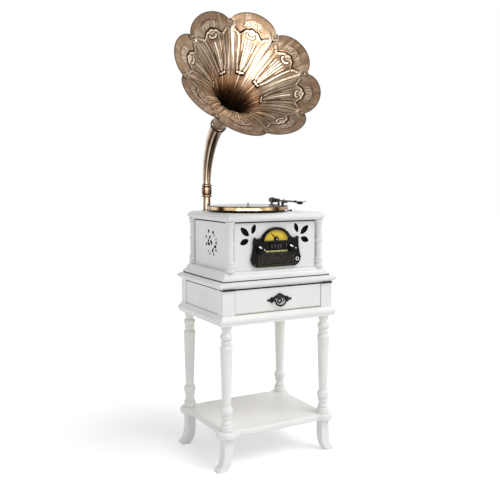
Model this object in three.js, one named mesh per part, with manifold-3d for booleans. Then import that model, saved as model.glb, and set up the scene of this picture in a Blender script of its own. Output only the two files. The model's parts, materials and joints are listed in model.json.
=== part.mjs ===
// Floor-standing retro record player: a turntable and radio cabinet under a petal horn,
// on a painted table with turned legs, a drawer and a lower shelf.
// Millimetres, +Z up, the front faces -Y. Sizes are named once and the pieces are worked out from them.
import * as THREE from "three";
import { mergeVertices } from "three/addons/utils/BufferGeometryUtils.js";
import Module from "manifold-3d";

const wasm = await Module();
wasm.setup();

// Driving dimensions of the whole object
const GAP = 0.3; // between two pieces that touch
const LEG_SPACING_X = 375;
const LEG_SPACING_Y = 287;
const FOOT_HEIGHT = 108;
const SHELF_THICK = 22;
const LEG_TURNED_HEIGHT = 342;
const CASE_HEIGHT = 116;
const TABLETOP_THICK = 22;
const PLINTH_HEIGHT = 30;
const CABINET_WIDTH = 340;
const CABINET_DEPTH = 280;
const CABINET_HEIGHT = 160;
const CABINET_BACK = 3.4; // how far behind the middle of the table the cabinet stands
const LID_THICK = 26;
const PLATTER_RADIUS = 139;
const HORN_RADIUS = 205.4; // to the seams at the rim
const HORN_LENGTH = 270; // from the neck ring to the seams at the rim
const PETALS = 8;

// Heights of the stack, from the floor up
const shelfBottom = FOOT_HEIGHT + GAP;
const shelfTop = shelfBottom + SHELF_THICK;
const legBottom = shelfTop + GAP;
const caseBottom = legBottom + LEG_TURNED_HEIGHT;
const caseTop = caseBottom + CASE_HEIGHT;
const tabletopBottom = caseTop + GAP;
const tabletopTop = tabletopBottom + TABLETOP_THICK;
const plinthBottom = tabletopTop + GAP;
const plinthTop = plinthBottom + PLINTH_HEIGHT;
const cabinetBottom = plinthTop + GAP;
const cabinetTop = cabinetBottom + CABINET_HEIGHT;
const lidBottom = cabinetTop + GAP;
const lidTop = lidBottom + LID_THICK;

const legX = LEG_SPACING_X / 2;
const legY = LEG_SPACING_Y / 2;
const cabinetX = CABINET_WIDTH / 2;
const cabinetY = CABINET_DEPTH / 2;

// Finishes
const finish = (color, roughness, metalness) =>
  new THREE.MeshStandardMaterial({ color, roughness, metalness });
const paint = finish("#f1f1f0", 0.45, 0);
const bareWood = finish("#d9c29a", 0.7, 0);
const bronze = finish("#8a6a4a", 0.3, 0.9);
const blackPlastic = finish("#141312", 0.4, 0);
const blackIron = finish("#1b1a19", 0.5, 0.6);
const steel = finish("#b9bbbd", 0.25, 1);
const rubber = finish("#181716", 0.85, 0);
const dialYellow = finish("#d8b420", 0.5, 0);
const circuitGreen = finish("#2c5a3a", 0.6, 0);
const paperCone = finish("#2a2827", 0.9, 0);

// Geometry helpers
const WELD = 1e-3;
const OVERRUN = 2; // how far a cutter runs past the face it cuts

// A closed geometry as a solid for cutting and joining.
function solidOf(geometry) {
  const bare = geometry.clone();
  for (const name of ["normal", "uv"]) bare.deleteAttribute(name);
  const merged = mergeVertices(bare, WELD);
  return new wasm.Manifold(
    new wasm.Mesh({
      numProp: 3,
      vertProperties: merged.attributes.position.array,
      triVerts: new Uint32Array(merged.index.array),
    }),
  );
}

// A solid back as a geometry with flat faces.
function geometryOf(solid) {
  const mesh = solid.getMesh();
  const indexed = new THREE.BufferGeometry()
    .setAttribute("position", new THREE.BufferAttribute(new Float32Array(mesh.vertProperties), mesh.numProp))
    .setIndex(new THREE.BufferAttribute(new Uint32Array(mesh.triVerts), 1));
  const flat = indexed.toNonIndexed();
  flat.computeVertexNormals();
  return flat;
}

const cut = (body, ...cutters) => geometryOf(cutters.reduce((s, c) => s.subtract(solidOf(c)), solidOf(body)));
const join = (body, ...others) => geometryOf(others.reduce((s, o) => s.add(solidOf(o)), solidOf(body)));

// A named mesh at a place.
function piece(name, geometry, material, position = [0, 0, 0]) {
  const mesh = new THREE.Mesh(geometry, material);
  mesh.name = name;
  mesh.position.set(...position);
  return mesh;
}

function group(...children) {
  const made = new THREE.Group();
  made.add(...children);
  return made;
}

// A profile of [radius, height] pairs, from the bottom up, turned about the Z axis.
const turned = (profile, segments) =>
  new THREE.LatheGeometry(profile.map(([r, z]) => new THREE.Vector2(r, z)), segments).rotateX(Math.PI / 2);

// A block with its centre at x, y and its lower face at z.
const block = (width, depth, height, x = 0, y = 0, z = 0) =>
  new THREE.BoxGeometry(width, depth, height).translate(x, y, z + height / 2);

// A round bar along Z, from z up.
const bar = (radius, height, segments, x = 0, y = 0, z = 0) =>
  new THREE.CylinderGeometry(radius, radius, height, segments).rotateX(Math.PI / 2).translate(x, y, z + height / 2);

// The same shape with its outline drawn counter-clockwise, which the extrusion of holes relies on.
function wound(shape, curveSegments) {
  const { shape: outline, holes } = shape.extractPoints(curveSegments);
  const facing = (points, clockwise) =>
    THREE.ShapeUtils.isClockWise(points) === clockwise ? points : [...points].reverse();
  const made = new THREE.Shape(facing(outline, false));
  made.holes = holes.map((hole) => new THREE.Path(facing(hole, true)));
  return made;
}

// A shape drawn in x and z, with its back at y = 0 and its front at y = -depth.
const frontPlate = (shape, depth, bevel = 0, curveSegments = 6) =>
  new THREE.ExtrudeGeometry(wound(shape, curveSegments), {
    depth: depth - 2 * bevel,
    bevelEnabled: bevel > 0,
    bevelThickness: bevel,
    bevelSize: bevel,
    bevelOffset: -bevel,
    bevelSegments: 1,
  })
    .translate(0, 0, bevel)
    .rotateX(Math.PI / 2);

// A plate lying flat, from z = 0 up.
const flatPlate = (shape, thick, curveSegments = 6) =>
  new THREE.ExtrudeGeometry(wound(shape, curveSegments), { depth: thick, bevelEnabled: false });

function rectangle(width, height, x = 0, z = 0) {
  const shape = new THREE.Shape();
  shape.moveTo(x - width / 2, z - height / 2);
  shape.lineTo(x + width / 2, z - height / 2);
  shape.lineTo(x + width / 2, z + height / 2);
  shape.lineTo(x - width / 2, z + height / 2);
  shape.closePath();
  return shape;
}

function circle(radius, x = 0, z = 0) {
  const shape = new THREE.Shape();
  shape.absarc(x, z, radius, 0, 2 * Math.PI);
  return shape;
}

// A leaf between two points, as wide as said at its middle, with full curved sides.
function leaf([x0, z0], [x1, z1], width) {
  const [dx, dz] = [x1 - x0, z1 - z0];
  const pull = (width * 2) / 3 / Math.hypot(dx, dz);
  const [sx, sz] = [-dz * pull, dx * pull];
  const near = 0.2;
  const at = (share, side) => [x0 + dx * share + sx * side, z0 + dz * share + sz * side];
  const shape = new THREE.Shape();
  shape.moveTo(x0, z0);
  shape.bezierCurveTo(...at(near, 1), ...at(1 - near, 1), x1, z1);
  shape.bezierCurveTo(...at(1 - near, -1), ...at(near, -1), x0, z0);
  return shape;
}

// A rectangular board whose edge follows a profile of [inset, height] pairs, from the bottom up.
function mouldedBoard(halfX, halfY, profile) {
  const points = [];
  for (const [inset, z] of profile)
    for (const [sx, sy] of [[-1, -1], [1, -1], [1, 1], [-1, 1]])
      points.push(sx * (halfX - inset), sy * (halfY - inset), z);
  const faces = [0, 2, 1, 0, 3, 2];
  profile.slice(1).forEach((_, ring) => {
    for (let corner = 0; corner < 4; corner++) {
      const [a, b] = [ring * 4 + corner, ring * 4 + ((corner + 1) % 4)];
      faces.push(a, b, b + 4, a, b + 4, a + 4);
    }
  });
  const last = (profile.length - 1) * 4;
  faces.push(last, last + 1, last + 2, last, last + 2, last + 3);
  return new THREE.BufferGeometry()
    .setAttribute("position", new THREE.BufferAttribute(new Float32Array(points), 3))
    .setIndex(faces);
}

// Two skins of rings * sides points each, outer first, joined at the first and last ring into one closed surface.
function closedSkins(points, rings, sides) {
  const faces = [];
  const inner = rings * sides;
  const quad = (a, b, c, d) => faces.push(a, b, c, a, c, d);
  for (let i = 0; i < sides; i++) {
    const j = (i + 1) % sides;
    for (let r = 0; r < rings - 1; r++) {
      const [low, high] = [r * sides, (r + 1) * sides];
      quad(low + i, low + j, high + j, high + i);
      quad(inner + low + j, inner + low + i, inner + high + i, inner + high + j);
    }
    quad(i, inner + i, inner + j, j);
    const last = (rings - 1) * sides;
    quad(last + j, inner + last + j, inner + last + i, last + i);
  }
  return new THREE.BufferGeometry()
    .setAttribute("position", new THREE.BufferAttribute(new Float32Array(points), 3))
    .setIndex(faces);
}

const SIDES = [
  ["left", -1],
  ["right", 1],
];
const ENDS = [
  ["front", -1],
  ["back", 1],
];

// Feet: sawn sabre feet that sweep out sideways
const FOOT = { topHalf: 16, depth: 34, kneeHeight: 62, toeOut: 38, toeRise: 7, heelOut: 9, bevel: 3 };

function foot(side) {
  const { topHalf, depth, kneeHeight, toeOut, toeRise, heelOut, bevel } = FOOT;
  const shape = new THREE.Shape();
  shape.moveTo(-topHalf * side, FOOT_HEIGHT);
  shape.lineTo(-topHalf * side, kneeHeight);
  shape.bezierCurveTo(-topHalf * side, kneeHeight / 2, -topHalf * 0.5 * side, toeRise * 2, heelOut * side, 0);
  shape.lineTo((toeOut - toeRise / 2) * side, 0);
  shape.lineTo(toeOut * side, toeRise);
  const outside = topHalf * side;
  shape.bezierCurveTo(outside * 1.5, kneeHeight * 0.4, outside, kneeHeight * 0.7, outside, kneeHeight);
  shape.lineTo(topHalf * side, FOOT_HEIGHT);
  shape.closePath();
  return frontPlate(shape, depth, bevel, 4).translate(0, depth / 2, 0);
}

// Shelf: a board with a round lobe under each leg and hollow curves between
const SHELF = { edgeX: 14, edgeY: 20, lobe: 35, run: 60, roll: 7 };

function shelf() {
  const { edgeX, edgeY, lobe, run, roll } = SHELF;
  const shape = new THREE.Shape();
  const lobeStart = 0.78 * Math.PI;
  const lobeEnd = -0.28 * Math.PI;
  // One corner, from its long edge to its short edge, mirrored about the axes by sx and sy.
  const corner = (sx, sy, forwards) => {
    const place = (x, y) => [sx * x, sy * y];
    const onLobe = (angle) => [legX + lobe * Math.cos(angle), legY + lobe * Math.sin(angle)];
    const [ax, ay] = onLobe(lobeStart);
    const [bx, by] = onLobe(lobeEnd);
    const longEdge = [legX - run, legY + edgeY];
    const shortEdge = [legX + edgeX, legY - run];
    const lean = lobe * 0.4;
    const longPull = [ax - lean, ay - lean * 0.75];
    const shortPull = [bx - lean * 0.75, by - lean];
    const arcSteps = 6;
    const arc = Array.from({ length: arcSteps }, (_, i) => lobeStart + ((lobeEnd - lobeStart) * (i + 1)) / arcSteps);
    if (forwards) {
      shape.lineTo(...place(...longEdge));
      shape.quadraticCurveTo(...place(...longPull), ...place(ax, ay));
      for (const angle of arc) shape.lineTo(...place(...onLobe(angle)));
      shape.quadraticCurveTo(...place(...shortPull), ...place(...shortEdge));
    } else {
      shape.lineTo(...place(...shortEdge));
      shape.quadraticCurveTo(...place(...shortPull), ...place(bx, by));
      for (const angle of [...arc.slice(0, -1)].reverse()) shape.lineTo(...place(...onLobe(angle)));
      shape.lineTo(...place(ax, ay));
      shape.quadraticCurveTo(...place(...longPull), ...place(...longEdge));
    }
  };
  shape.moveTo(0, legY + edgeY);
  corner(1, 1, true);
  corner(1, -1, false);
  corner(-1, -1, true);
  corner(-1, 1, false);
  shape.closePath();
  return new THREE.ExtrudeGeometry(shape, {
    depth: SHELF_THICK - 2 * roll,
    bevelThickness: roll,
    bevelSize: roll,
    bevelOffset: -roll,
    bevelSegments: 2,
    curveSegments: 3,
  }).translate(0, 0, roll);
}

// Legs: a turned shaft under a square corner block with flutes on its two outer faces
const LEG = { block: 43, blockDepth: 36, waist: 14, neck: 15, bead: 20.5, smallBead: 17, shoulder: 21, base: 20.5 };
const FLUTE = { radius: 3.2, pitch: 11, margin: 8 };
const LEG_SIDES = 10;

// Heights are shares of the turned height, radii are the named ones.
function legProfile() {
  const { waist, neck, bead, smallBead, shoulder, base } = LEG;
  const shares = [
    [0, 0], [base, 0], [base, 0.055], [neck, 0.065], [smallBead, 0.08], [neck, 0.092], [neck, 0.15], [bead, 0.185],
    [bead, 0.212], [waist, 0.235], [bead - GAP, 0.765], [shoulder, 0.79], [neck, 0.812], [smallBead + GAP, 0.838],
    [neck, 0.863], [bead, 0.885], [bead - 2 * GAP, 0.91], [neck - 2 * GAP, 0.925], [neck, 0.955],
    [smallBead + 2 * GAP, 0.98], [smallBead + 2 * GAP, 1],
  ];
  return shares.map(([radius, share]) => [radius, share * LEG_TURNED_HEIGHT]);
}

function leg(sx, sy) {
  const { block: width, blockDepth } = LEG;
  const shaft = turned([...legProfile(), [0, LEG_TURNED_HEIGHT]], LEG_SIDES);
  const corner = block(width, blockDepth, CASE_HEIGHT, 0, 0, LEG_TURNED_HEIGHT - GAP);
  const fluteLength = CASE_HEIGHT - FLUTE.margin;
  const bottom = LEG_TURNED_HEIGHT + moulding.height + FLUTE.margin / 2;
  const flutes = [];
  for (const step of [-1, 0, 1]) {
    const aside = step * FLUTE.pitch * (blockDepth / width);
    flutes.push(bar(FLUTE.radius, fluteLength, 6, step * FLUTE.pitch, (sy * blockDepth) / 2, bottom));
    flutes.push(bar(FLUTE.radius, fluteLength, 6, (sx * width) / 2, aside, bottom));
  }
  const whole = geometryOf(solidOf(join(shaft, corner)));
  return cut(whole, ...flutes);
}

// Case: aprons between the corner blocks, a moulding round the foot of them, and the board that the drawer runs on
const apron = { thick: 16, inset: 3, front: 2 };
const moulding = { height: 33, out: 11 };
const caseOutX = legX + LEG.block / 2;
const caseOutY = legY + LEG.blockDepth / 2;
const BOARD_THICK = 12;

function sideApron() {
  const length = LEG_SPACING_Y - LEG.blockDepth - 2 * GAP;
  return block(apron.thick, length, CASE_HEIGHT - GAP);
}

function backApron() {
  const length = LEG_SPACING_X - LEG.block - 2 * GAP;
  return block(length, apron.thick, CASE_HEIGHT - GAP);
}

function mouldingFrame() {
  const { height, out } = moulding;
  const profile = [
    [out * 0.55, 0], [out * 0.3, height * 0.1], [out * 0.3, height * 0.24], [out * 0.05, height * 0.36],
    [0, height * 0.5], [out * 0.1, height * 0.62], [out * 0.45, height * 0.76], [out * 0.8, height * 0.86],
    [out * 0.85, height],
  ];
  const board = mouldedBoard(caseOutX + out, caseOutY + out, profile);
  const well = block(2 * (caseOutX + GAP), 2 * (caseOutY + GAP), height + 2 * OVERRUN, 0, 0, -OVERRUN);
  return cut(board, well);
}

function caseBoard() {
  const insideX = caseOutX - apron.inset - apron.thick - GAP;
  const insideY = caseOutY - apron.inset - apron.thick - GAP;
  const frontY = apron.front - caseOutY;
  const board = block(2 * insideX, insideY - frontY, BOARD_THICK, 0, (insideY + frontY) / 2);
  const notchX = LEG.block + 2 * GAP;
  const notchY = LEG.blockDepth + 2 * GAP;
  const notches = SIDES.flatMap(([, sx]) =>
    ENDS.map(([, sy]) => block(notchX, notchY, BOARD_THICK + 2 * OVERRUN, sx * legX, sy * legY, -OVERRUN)),
  );
  return cut(board, ...notches);
}

// Tabletop: a board with a moulded edge
const tabletop = { overX: 14.5, overY: 9, edge: 12 };

function tabletopBoard() {
  const { edge } = tabletop;
  return mouldedBoard(caseOutX + tabletop.overX, caseOutY + tabletop.overY, [
    [edge, 0], [edge * 0.9, TABLETOP_THICK * 0.2], [edge * 0.3, TABLETOP_THICK * 0.36], [0, TABLETOP_THICK * 0.48],
    [0, TABLETOP_THICK * 0.66], [edge * 0.15, TABLETOP_THICK * 0.82], [edge * 0.45, TABLETOP_THICK * 0.93],
    [edge * 0.75, TABLETOP_THICK],
  ]);
}

// Drawer: a front, two sides, a back and a bottom board, running on the case board
const drawer = { frontThick: 18, wall: 11, side: 2, bottomThick: 5, bottomUp: 6, sideDrop: 12, lift: 0.5 };
const drawerFront = { reveal: 0.7, bead: 2 };
const drawerFrontWidth = LEG_SPACING_X - LEG.block - 2 * drawerFront.reveal;
const drawerFrontHeight = CASE_HEIGHT - moulding.height - 2 * drawerFront.reveal;
const drawerFrontBottom = caseBottom + moulding.height + drawerFront.reveal;
const drawerFace = -(caseOutY - apron.front); // y of the drawer front's outer face
const boardBottom = caseBottom + moulding.height - BOARD_THICK - GAP;
const boardTop = boardBottom + BOARD_THICK;
const drawerBoxBottom = boardTop + drawer.lift;
const drawerBoxHeight = caseTop - drawer.sideDrop - drawerBoxBottom;
const drawerBoxHalf = caseOutX - LEG.block - drawer.side;
const drawerBoxLength = 2 * caseOutY - apron.front - apron.inset - apron.thick - drawer.frontThick - drawer.side * 3;
const drawerBoxFront = drawerFace + drawer.frontThick + GAP; // y where the sides begin

function drawerSide() {
  const { wall, bottomUp, bottomThick } = drawer;
  const board = block(wall, drawerBoxLength, drawerBoxHeight);
  return { board, grooveZ: bottomUp, grooveHeight: bottomThick + 2 * GAP };
}

function drawerParts() {
  const { wall, frontThick, bottomThick, bottomUp } = drawer;
  const grooveDeep = wall / 2;
  const midY = drawerBoxFront + drawerBoxLength / 2;
  const insideHalf = drawerBoxHalf - wall;
  const parts = [];
  const front = mouldedFront();
  parts.push(piece("drawer_front", front, paint, [0, drawerFace + frontThick, drawerFrontBottom]));
  for (const [name, sx] of SIDES) {
    const { board, grooveZ, grooveHeight } = drawerSide();
    const grooveLength = drawerBoxLength + 2 * OVERRUN;
    const groove = block(grooveDeep * 2, grooveLength, grooveHeight, -sx * (wall / 2), 0, grooveZ - GAP);
    const sideX = sx * (drawerBoxHalf - wall / 2);
    parts.push(piece(`drawer_side_${name}`, cut(board, groove), bareWood, [sideX, midY, drawerBoxBottom]));
  }
  const backHeight = drawerBoxHeight - bottomUp - bottomThick - GAP;
  const backBoard = block(2 * insideHalf - 2 * GAP, wall, backHeight);
  const backY = drawerBoxFront + drawerBoxLength - wall / 2;
  parts.push(piece("drawer_back", backBoard, bareWood, [0, backY, drawerBoxBottom + bottomUp + bottomThick + GAP]));
  const bottomBoard = block(2 * (insideHalf + grooveDeep) - 2 * GAP, drawerBoxLength - GAP, bottomThick);
  parts.push(piece("drawer_bottom", bottomBoard, bareWood, [0, midY, drawerBoxBottom + bottomUp]));
  return parts;
}

// The drawer front has a small sunk bead round its face.
function mouldedFront() {
  const shape = rectangle(drawerFrontWidth, drawerFrontHeight, 0, drawerFrontHeight / 2);
  return frontPlate(shape, drawer.frontThick, drawerFront.bead);
}

// Drawer pull: a pierced back plate with two eyes, and a bail that hangs in them
const PULL = { plate: 2.5, halfWidth: 47, halfHeight: 19, eyeX: 24, eyeRadius: 4, eyeOut: 9 };
const BAIL = { pin: 2, drop: 24, wire: 2.4 };
const pullZ = drawerFrontBottom + drawerFrontHeight * 0.46;

function pullPlate() {
  const { plate, halfWidth, halfHeight, eyeX, eyeRadius, eyeOut } = PULL;
  const pinHole = BAIL.pin + GAP;
  const shape = new THREE.Shape();
  const w = halfWidth;
  const h = halfHeight;
  shape.moveTo(-w, 0);
  // The upper edge: a wing leaf, a scroll and the high centre, then mirrored.
  shape.quadraticCurveTo(-0.8 * w, 0.24 * h, -0.72 * w, 0.16 * h);
  shape.quadraticCurveTo(-0.66 * w, 0.62 * h, -0.46 * w, 0.46 * h);
  shape.quadraticCurveTo(-0.3 * w, h, 0, h);
  shape.quadraticCurveTo(0.3 * w, h, 0.46 * w, 0.46 * h);
  shape.quadraticCurveTo(0.66 * w, 0.62 * h, 0.72 * w, 0.16 * h);
  shape.quadraticCurveTo(0.8 * w, 0.24 * h, w, 0);
  shape.quadraticCurveTo(0.8 * w, -0.24 * h, 0.72 * w, -0.16 * h);
  shape.quadraticCurveTo(0.66 * w, -0.62 * h, 0.44 * w, -0.4 * h);
  shape.quadraticCurveTo(0.3 * w, -0.9 * h, 0, -0.95 * h);
  shape.quadraticCurveTo(-0.3 * w, -0.9 * h, -0.44 * w, -0.4 * h);
  shape.quadraticCurveTo(-0.66 * w, -0.62 * h, -0.72 * w, -0.16 * h);
  shape.quadraticCurveTo(-0.8 * w, -0.24 * h, -w, 0);
  for (const side of [-1, 1]) {
    shape.holes.push(leaf([side * 0.14 * w, 0.55 * h], [side * 0.36 * w, 0.1 * h], 0.16 * h));
    shape.holes.push(leaf([side * 0.14 * w, -0.5 * h], [side * 0.36 * w, -0.12 * h], 0.16 * h));
  }
  const body = frontPlate(shape, plate, 0, 3);
  const eyes = [-1, 1].map((side) =>
    new THREE.CylinderGeometry(eyeRadius, eyeRadius, eyeRadius, 10)
      .rotateZ(Math.PI / 2)
      .translate(side * eyeX, -eyeOut, 0),
  );
  const stems = [-1, 1].map((side) => block(eyeRadius, eyeOut, eyeRadius, side * eyeX, -eyeOut / 2, -eyeRadius / 2));
  const holes = [-1, 1].map((side) =>
    new THREE.CylinderGeometry(pinHole, pinHole, eyeRadius * 3, 10)
      .rotateZ(Math.PI / 2)
      .translate(side * eyeX, -eyeOut, 0),
  );
  const boss = new THREE.SphereGeometry(h * 0.4, 8, 6).scale(1, 0.5, 1).translate(0, -plate, 0);
  const rear = block(4 * w, h, 4 * h, 0, h / 2, -2 * h);
  return cut(geometryOf(solidOf(join(body, boss, ...stems, ...eyes))), ...holes, rear);
}

// The bail: straight pins in the eyes, then a bow that hangs below.
function pullBail() {
  const { eyeX, eyeRadius, eyeOut } = PULL;
  const { pin, drop, wire } = BAIL;
  const inner = eyeX - eyeRadius / 2 - wire - GAP * 2;
  const curve = new THREE.CatmullRomCurve3(
    [
      [-inner, 0, wire * 0.6], [-inner, 0, -drop * 0.3], [-inner * 0.8, 0, -drop * 0.72], [0, 0, -drop],
      [inner * 0.8, 0, -drop * 0.72], [inner, 0, -drop * 0.3], [inner, 0, wire * 0.6],
    ].map(([x, y, z]) => new THREE.Vector3(x, y, z)),
  );
  const section = circle(wire);
  const bow = new THREE.ExtrudeGeometry(section, { steps: 14, extrudePath: curve, curveSegments: 3 });
  const pins = [-1, 1].map((side) =>
    new THREE.CylinderGeometry(pin, pin, eyeRadius + 2 * wire, 10)
      .rotateZ(Math.PI / 2)
      .translate(side * (inner + (eyeRadius + wire) / 2), 0, 0),
  );
  return join(bow, ...pins).translate(0, -eyeOut, 0);
}

// Cabinet: plinth, four turned corner columns, panels and a moulded lid
const plinth = { outX: 34, outY: 18, edge: 22 };
const PANEL_THICK = 12;
const COLUMN = { radius: 15, shaft: 11, ring: 14.3, groove: 12, out: 1.5 };
const COLUMN_SIDES = 10;
const lid = { outX: 16, outY: 18, edge: 15 };
const lidHalfX = cabinetX + lid.outX;
const lidHalfY = cabinetY + lid.outY;

function plinthBoard() {
  const h = PLINTH_HEIGHT;
  const { edge } = plinth;
  return mouldedBoard(cabinetX + plinth.outX, cabinetY + plinth.outY, [
    [edge * 0.1, 0], [0, h * 0.1], [0, h * 0.3], [edge * 0.12, h * 0.5], [edge * 0.4, h * 0.62],
    [edge * 0.5, h * 0.8], [edge * 0.62, h * 0.9], [edge * 0.66, h],
  ]);
}

function columnProfile() {
  const { radius, shaft, ring, groove } = COLUMN;
  const shares = [
    [0, 0], [radius, 0], [radius, 0.055], [groove, 0.08], [radius - GAP, 0.115], [groove, 0.155], [ring, 0.18],
    [shaft, 0.21], [shaft + GAP, 0.53], [ring, 0.56], [shaft + GAP, 0.59], [shaft, 0.88], [ring - 4 * GAP, 0.908],
    [groove - GAP, 0.93], [radius, 0.955], [radius, 1], [0, 1],
  ];
  return shares.map(([r, share]) => [r, share * CABINET_HEIGHT]);
}

// A column is let into the corner, so the panels' corner is cut out of it.
function cornerColumn(sx, sy) {
  const { radius, out } = COLUMN;
  const shaft = turned(columnProfile(), COLUMN_SIDES);
  const away = radius + out;
  const corner = block(2 * radius, 2 * radius, CABINET_HEIGHT + 2 * OVERRUN, -sx * away, -sy * away, -OVERRUN);
  return cut(shaft, corner);
}

// The leaf-shaped sound holes beside the radio: the ends of each as shares of the cabinet's width, from the
// radio's middle, and of its height, and its width as a share of the height.
const leafShares = [
  { from: [0.257, 0.744], to: [0.225, 0.944], width: 0.1 },
  { from: [0.292, 0.706], to: [0.381, 0.881], width: 0.122 },
  { from: [0.295, 0.631], to: [0.387, 0.55], width: 0.122 },
];
const speakerShares = { x: 0.3, z: 0.73 };

// Radio front: its outline, dial arch, knobs and keys, measured from the middle of its lower edge
const RADIO = { x: -2, up: 8.5, halfWidth: 96, height: 131, thick: 7, bevel: 1.5, foot: 72, worksRim: 12 };
const RADIO_BOTTOM = cabinetBottom + RADIO.up;
const DIAL = { halfWidth: 46.5, rise: 35, bottom: 86.5, thick: 1.5, sunk: 3, hubUp: 5 };
const NEEDLE = { hub: 4.6, pin: 1.6, length: 28.5, width: 1.4, restAngle: 45 };
const KNOB = { radius: 14, depth: 15, x: 61, z: 58.5, shaft: 3, shaftLength: 9, flutes: 6 };
const KEY = { width: 11, height: 18, pitch: 12, x: -19, z: 69, proud: 3, depth: 12, count: 3 };

function radioOutline() {
  const { halfWidth: w, height: h, foot: f } = RADIO;
  const half = [
    [f, 0], [w * 0.91, h * 0.06], [w, h * 0.21], [w * 0.97, h * 0.3], [w * 0.91, h * 0.5], [w * 0.9, h * 0.66],
    [w * 0.85, h * 0.76], [w * 0.76, h * 0.72], [w * 0.6, h * 0.75],
  ];
  const shape = new THREE.Shape();
  shape.moveTo(-f, 0);
  for (const [x, z] of half) shape.lineTo(x, z);
  shape.bezierCurveTo(w * 0.44, h * 0.93, w * 0.26, h, 0, h);
  shape.bezierCurveTo(-w * 0.26, h, -w * 0.44, h * 0.93, -w * 0.6, h * 0.75);
  for (const [x, z] of half.slice(0, -1).reverse()) shape.lineTo(-x, z);
  return shape;
}

function dialArch(inset) {
  const { halfWidth, rise, bottom } = DIAL;
  const w = halfWidth - inset;
  const h = rise - 2 * inset;
  const shape = new THREE.Shape();
  shape.moveTo(-w, bottom + inset);
  shape.lineTo(w, bottom + inset);
  shape.bezierCurveTo(w, bottom + inset + h * 0.62, w * 0.58, bottom + inset + h, 0, bottom + inset + h);
  shape.bezierCurveTo(-w * 0.58, bottom + inset + h, -w, bottom + inset + h * 0.62, -w, bottom + inset);
  return shape;
}

const keyWindow = {
  width: KEY.count * KEY.pitch + 2 * GAP,
  height: KEY.height + 2 * GAP,
  x: KEY.x + ((KEY.count - 1) * KEY.pitch) / 2,
};
const STRIP = { width: 85, height: 5, z: 52, proud: 1.2 };
const DOOR = { width: 138, height: 36, z: 10, deep: 1.6, bead: 5 };
const SOCKET = { x: 78, z: 22, radius: 5, ring: 1.6 };

function radioBezel() {
  const { thick } = RADIO;
  const outline = radioOutline();
  outline.holes.push(rectangle(keyWindow.width, keyWindow.height, keyWindow.x, KEY.z));
  for (const [, side] of SIDES) outline.holes.push(circle(KNOB.shaft + GAP, side * KNOB.x, KNOB.z));
  const body = frontPlate(outline, thick, RADIO.bevel, 4);
  const dialWell = frontPlate(dialArch(0), thick).translate(0, -thick + DIAL.sunk + DIAL.thick, 0);
  const hubHole = new THREE.CylinderGeometry(NEEDLE.pin + GAP, NEEDLE.pin + GAP, 3 * thick, 10);
  const { width, height, z, deep, bead } = DOOR;
  const doorWell = block(width, 2 * deep, height, 0, -thick, z);
  const door = block(width - 2 * bead, 2 * deep, height - 2 * bead, 0, 0, z + bead);
  const strip = block(STRIP.width, 2 * STRIP.proud, STRIP.height, 0, -thick, STRIP.z - STRIP.height / 2);
  const socket = new THREE.CylinderGeometry(SOCKET.radius, SOCKET.radius, 2 * SOCKET.ring, 12);
  return join(
    cut(body, dialWell, hubHole.translate(0, 0, DIAL.bottom + DIAL.hubUp), doorWell),
    door.translate(0, deep - thick, 0),
    strip,
    socket.translate(SOCKET.x, -thick, SOCKET.z),
  );
}

function dialPlate() {
  const arch = dialArch(2 * GAP);
  arch.holes.push(circle(NEEDLE.pin + GAP, 0, DIAL.bottom + DIAL.hubUp));
  return frontPlate(arch, DIAL.thick, 0, 6);
}

// The needle's cap and blade stand in front of y = 0, and its pin runs back through the dial and the bezel.
function dialNeedle(pinLength) {
  const { hub, pin, length, width, restAngle } = NEEDLE;
  const { thick } = DIAL;
  const reach = pinLength + thick / 2;
  const cap = new THREE.CylinderGeometry(hub, hub, thick, 12).translate(0, -thick / 2, 0);
  const shaft = new THREE.CylinderGeometry(pin, pin, reach, 8).translate(0, (reach - thick) / 2, 0);
  const blade = block(width, thick * 0.6, length, 0, -thick / 2);
  return join(cap, shaft, blade).rotateY((-restAngle * Math.PI) / 180);
}

// A knob with a fluted skirt and a flat cap, its axis along Y, its back at y = 0.
function knob() {
  const { radius, depth, shaft, shaftLength, flutes: count } = KNOB;
  const profile = [
    [0, -shaftLength], [shaft, -shaftLength], [shaft, 0], [radius, 0], [radius, depth * 0.3],
    [radius * 0.84, depth * 0.42], [radius * 0.78, depth * 0.92], [radius * 0.68, depth], [0, depth],
  ];
  const body = turned(profile, 16);
  const flutes = Array.from({ length: count }, (_, i) => {
    const angle = (2 * Math.PI * i) / count;
    const reach = radius * 0.9;
    return bar(radius * 0.1, depth, 6, reach * Math.cos(angle), reach * Math.sin(angle), depth * 0.44);
  });
  return cut(body, ...flutes).rotateX(Math.PI / 2);
}

const panelKey = () => block(KEY.width, KEY.depth, KEY.height, 0, 0, -KEY.height / 2);

// The front panel carries the radio and has the leaf holes.
function frontPanel() {
  const width = CABINET_WIDTH - 2 * COLUMN.radius;
  const shape = rectangle(width, CABINET_HEIGHT, 0, CABINET_HEIGHT / 2);
  for (const [, side] of SIDES)
    for (const { from, to, width: widthShare } of leafShares) {
      const at = ([x, z]) => [RADIO.x + side * x * CABINET_WIDTH, z * CABINET_HEIGHT];
      shape.holes.push(leaf(at(from), at(to), widthShare * CABINET_HEIGHT));
    }
  const works = rectangle(2 * RADIO.foot, DIAL.bottom - RADIO.worksRim, RADIO.x, RADIO.up + DIAL.bottom / 2);
  shape.holes.push(works);
  return frontPlate(shape, PANEL_THICK, 0, 5);
}

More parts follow.
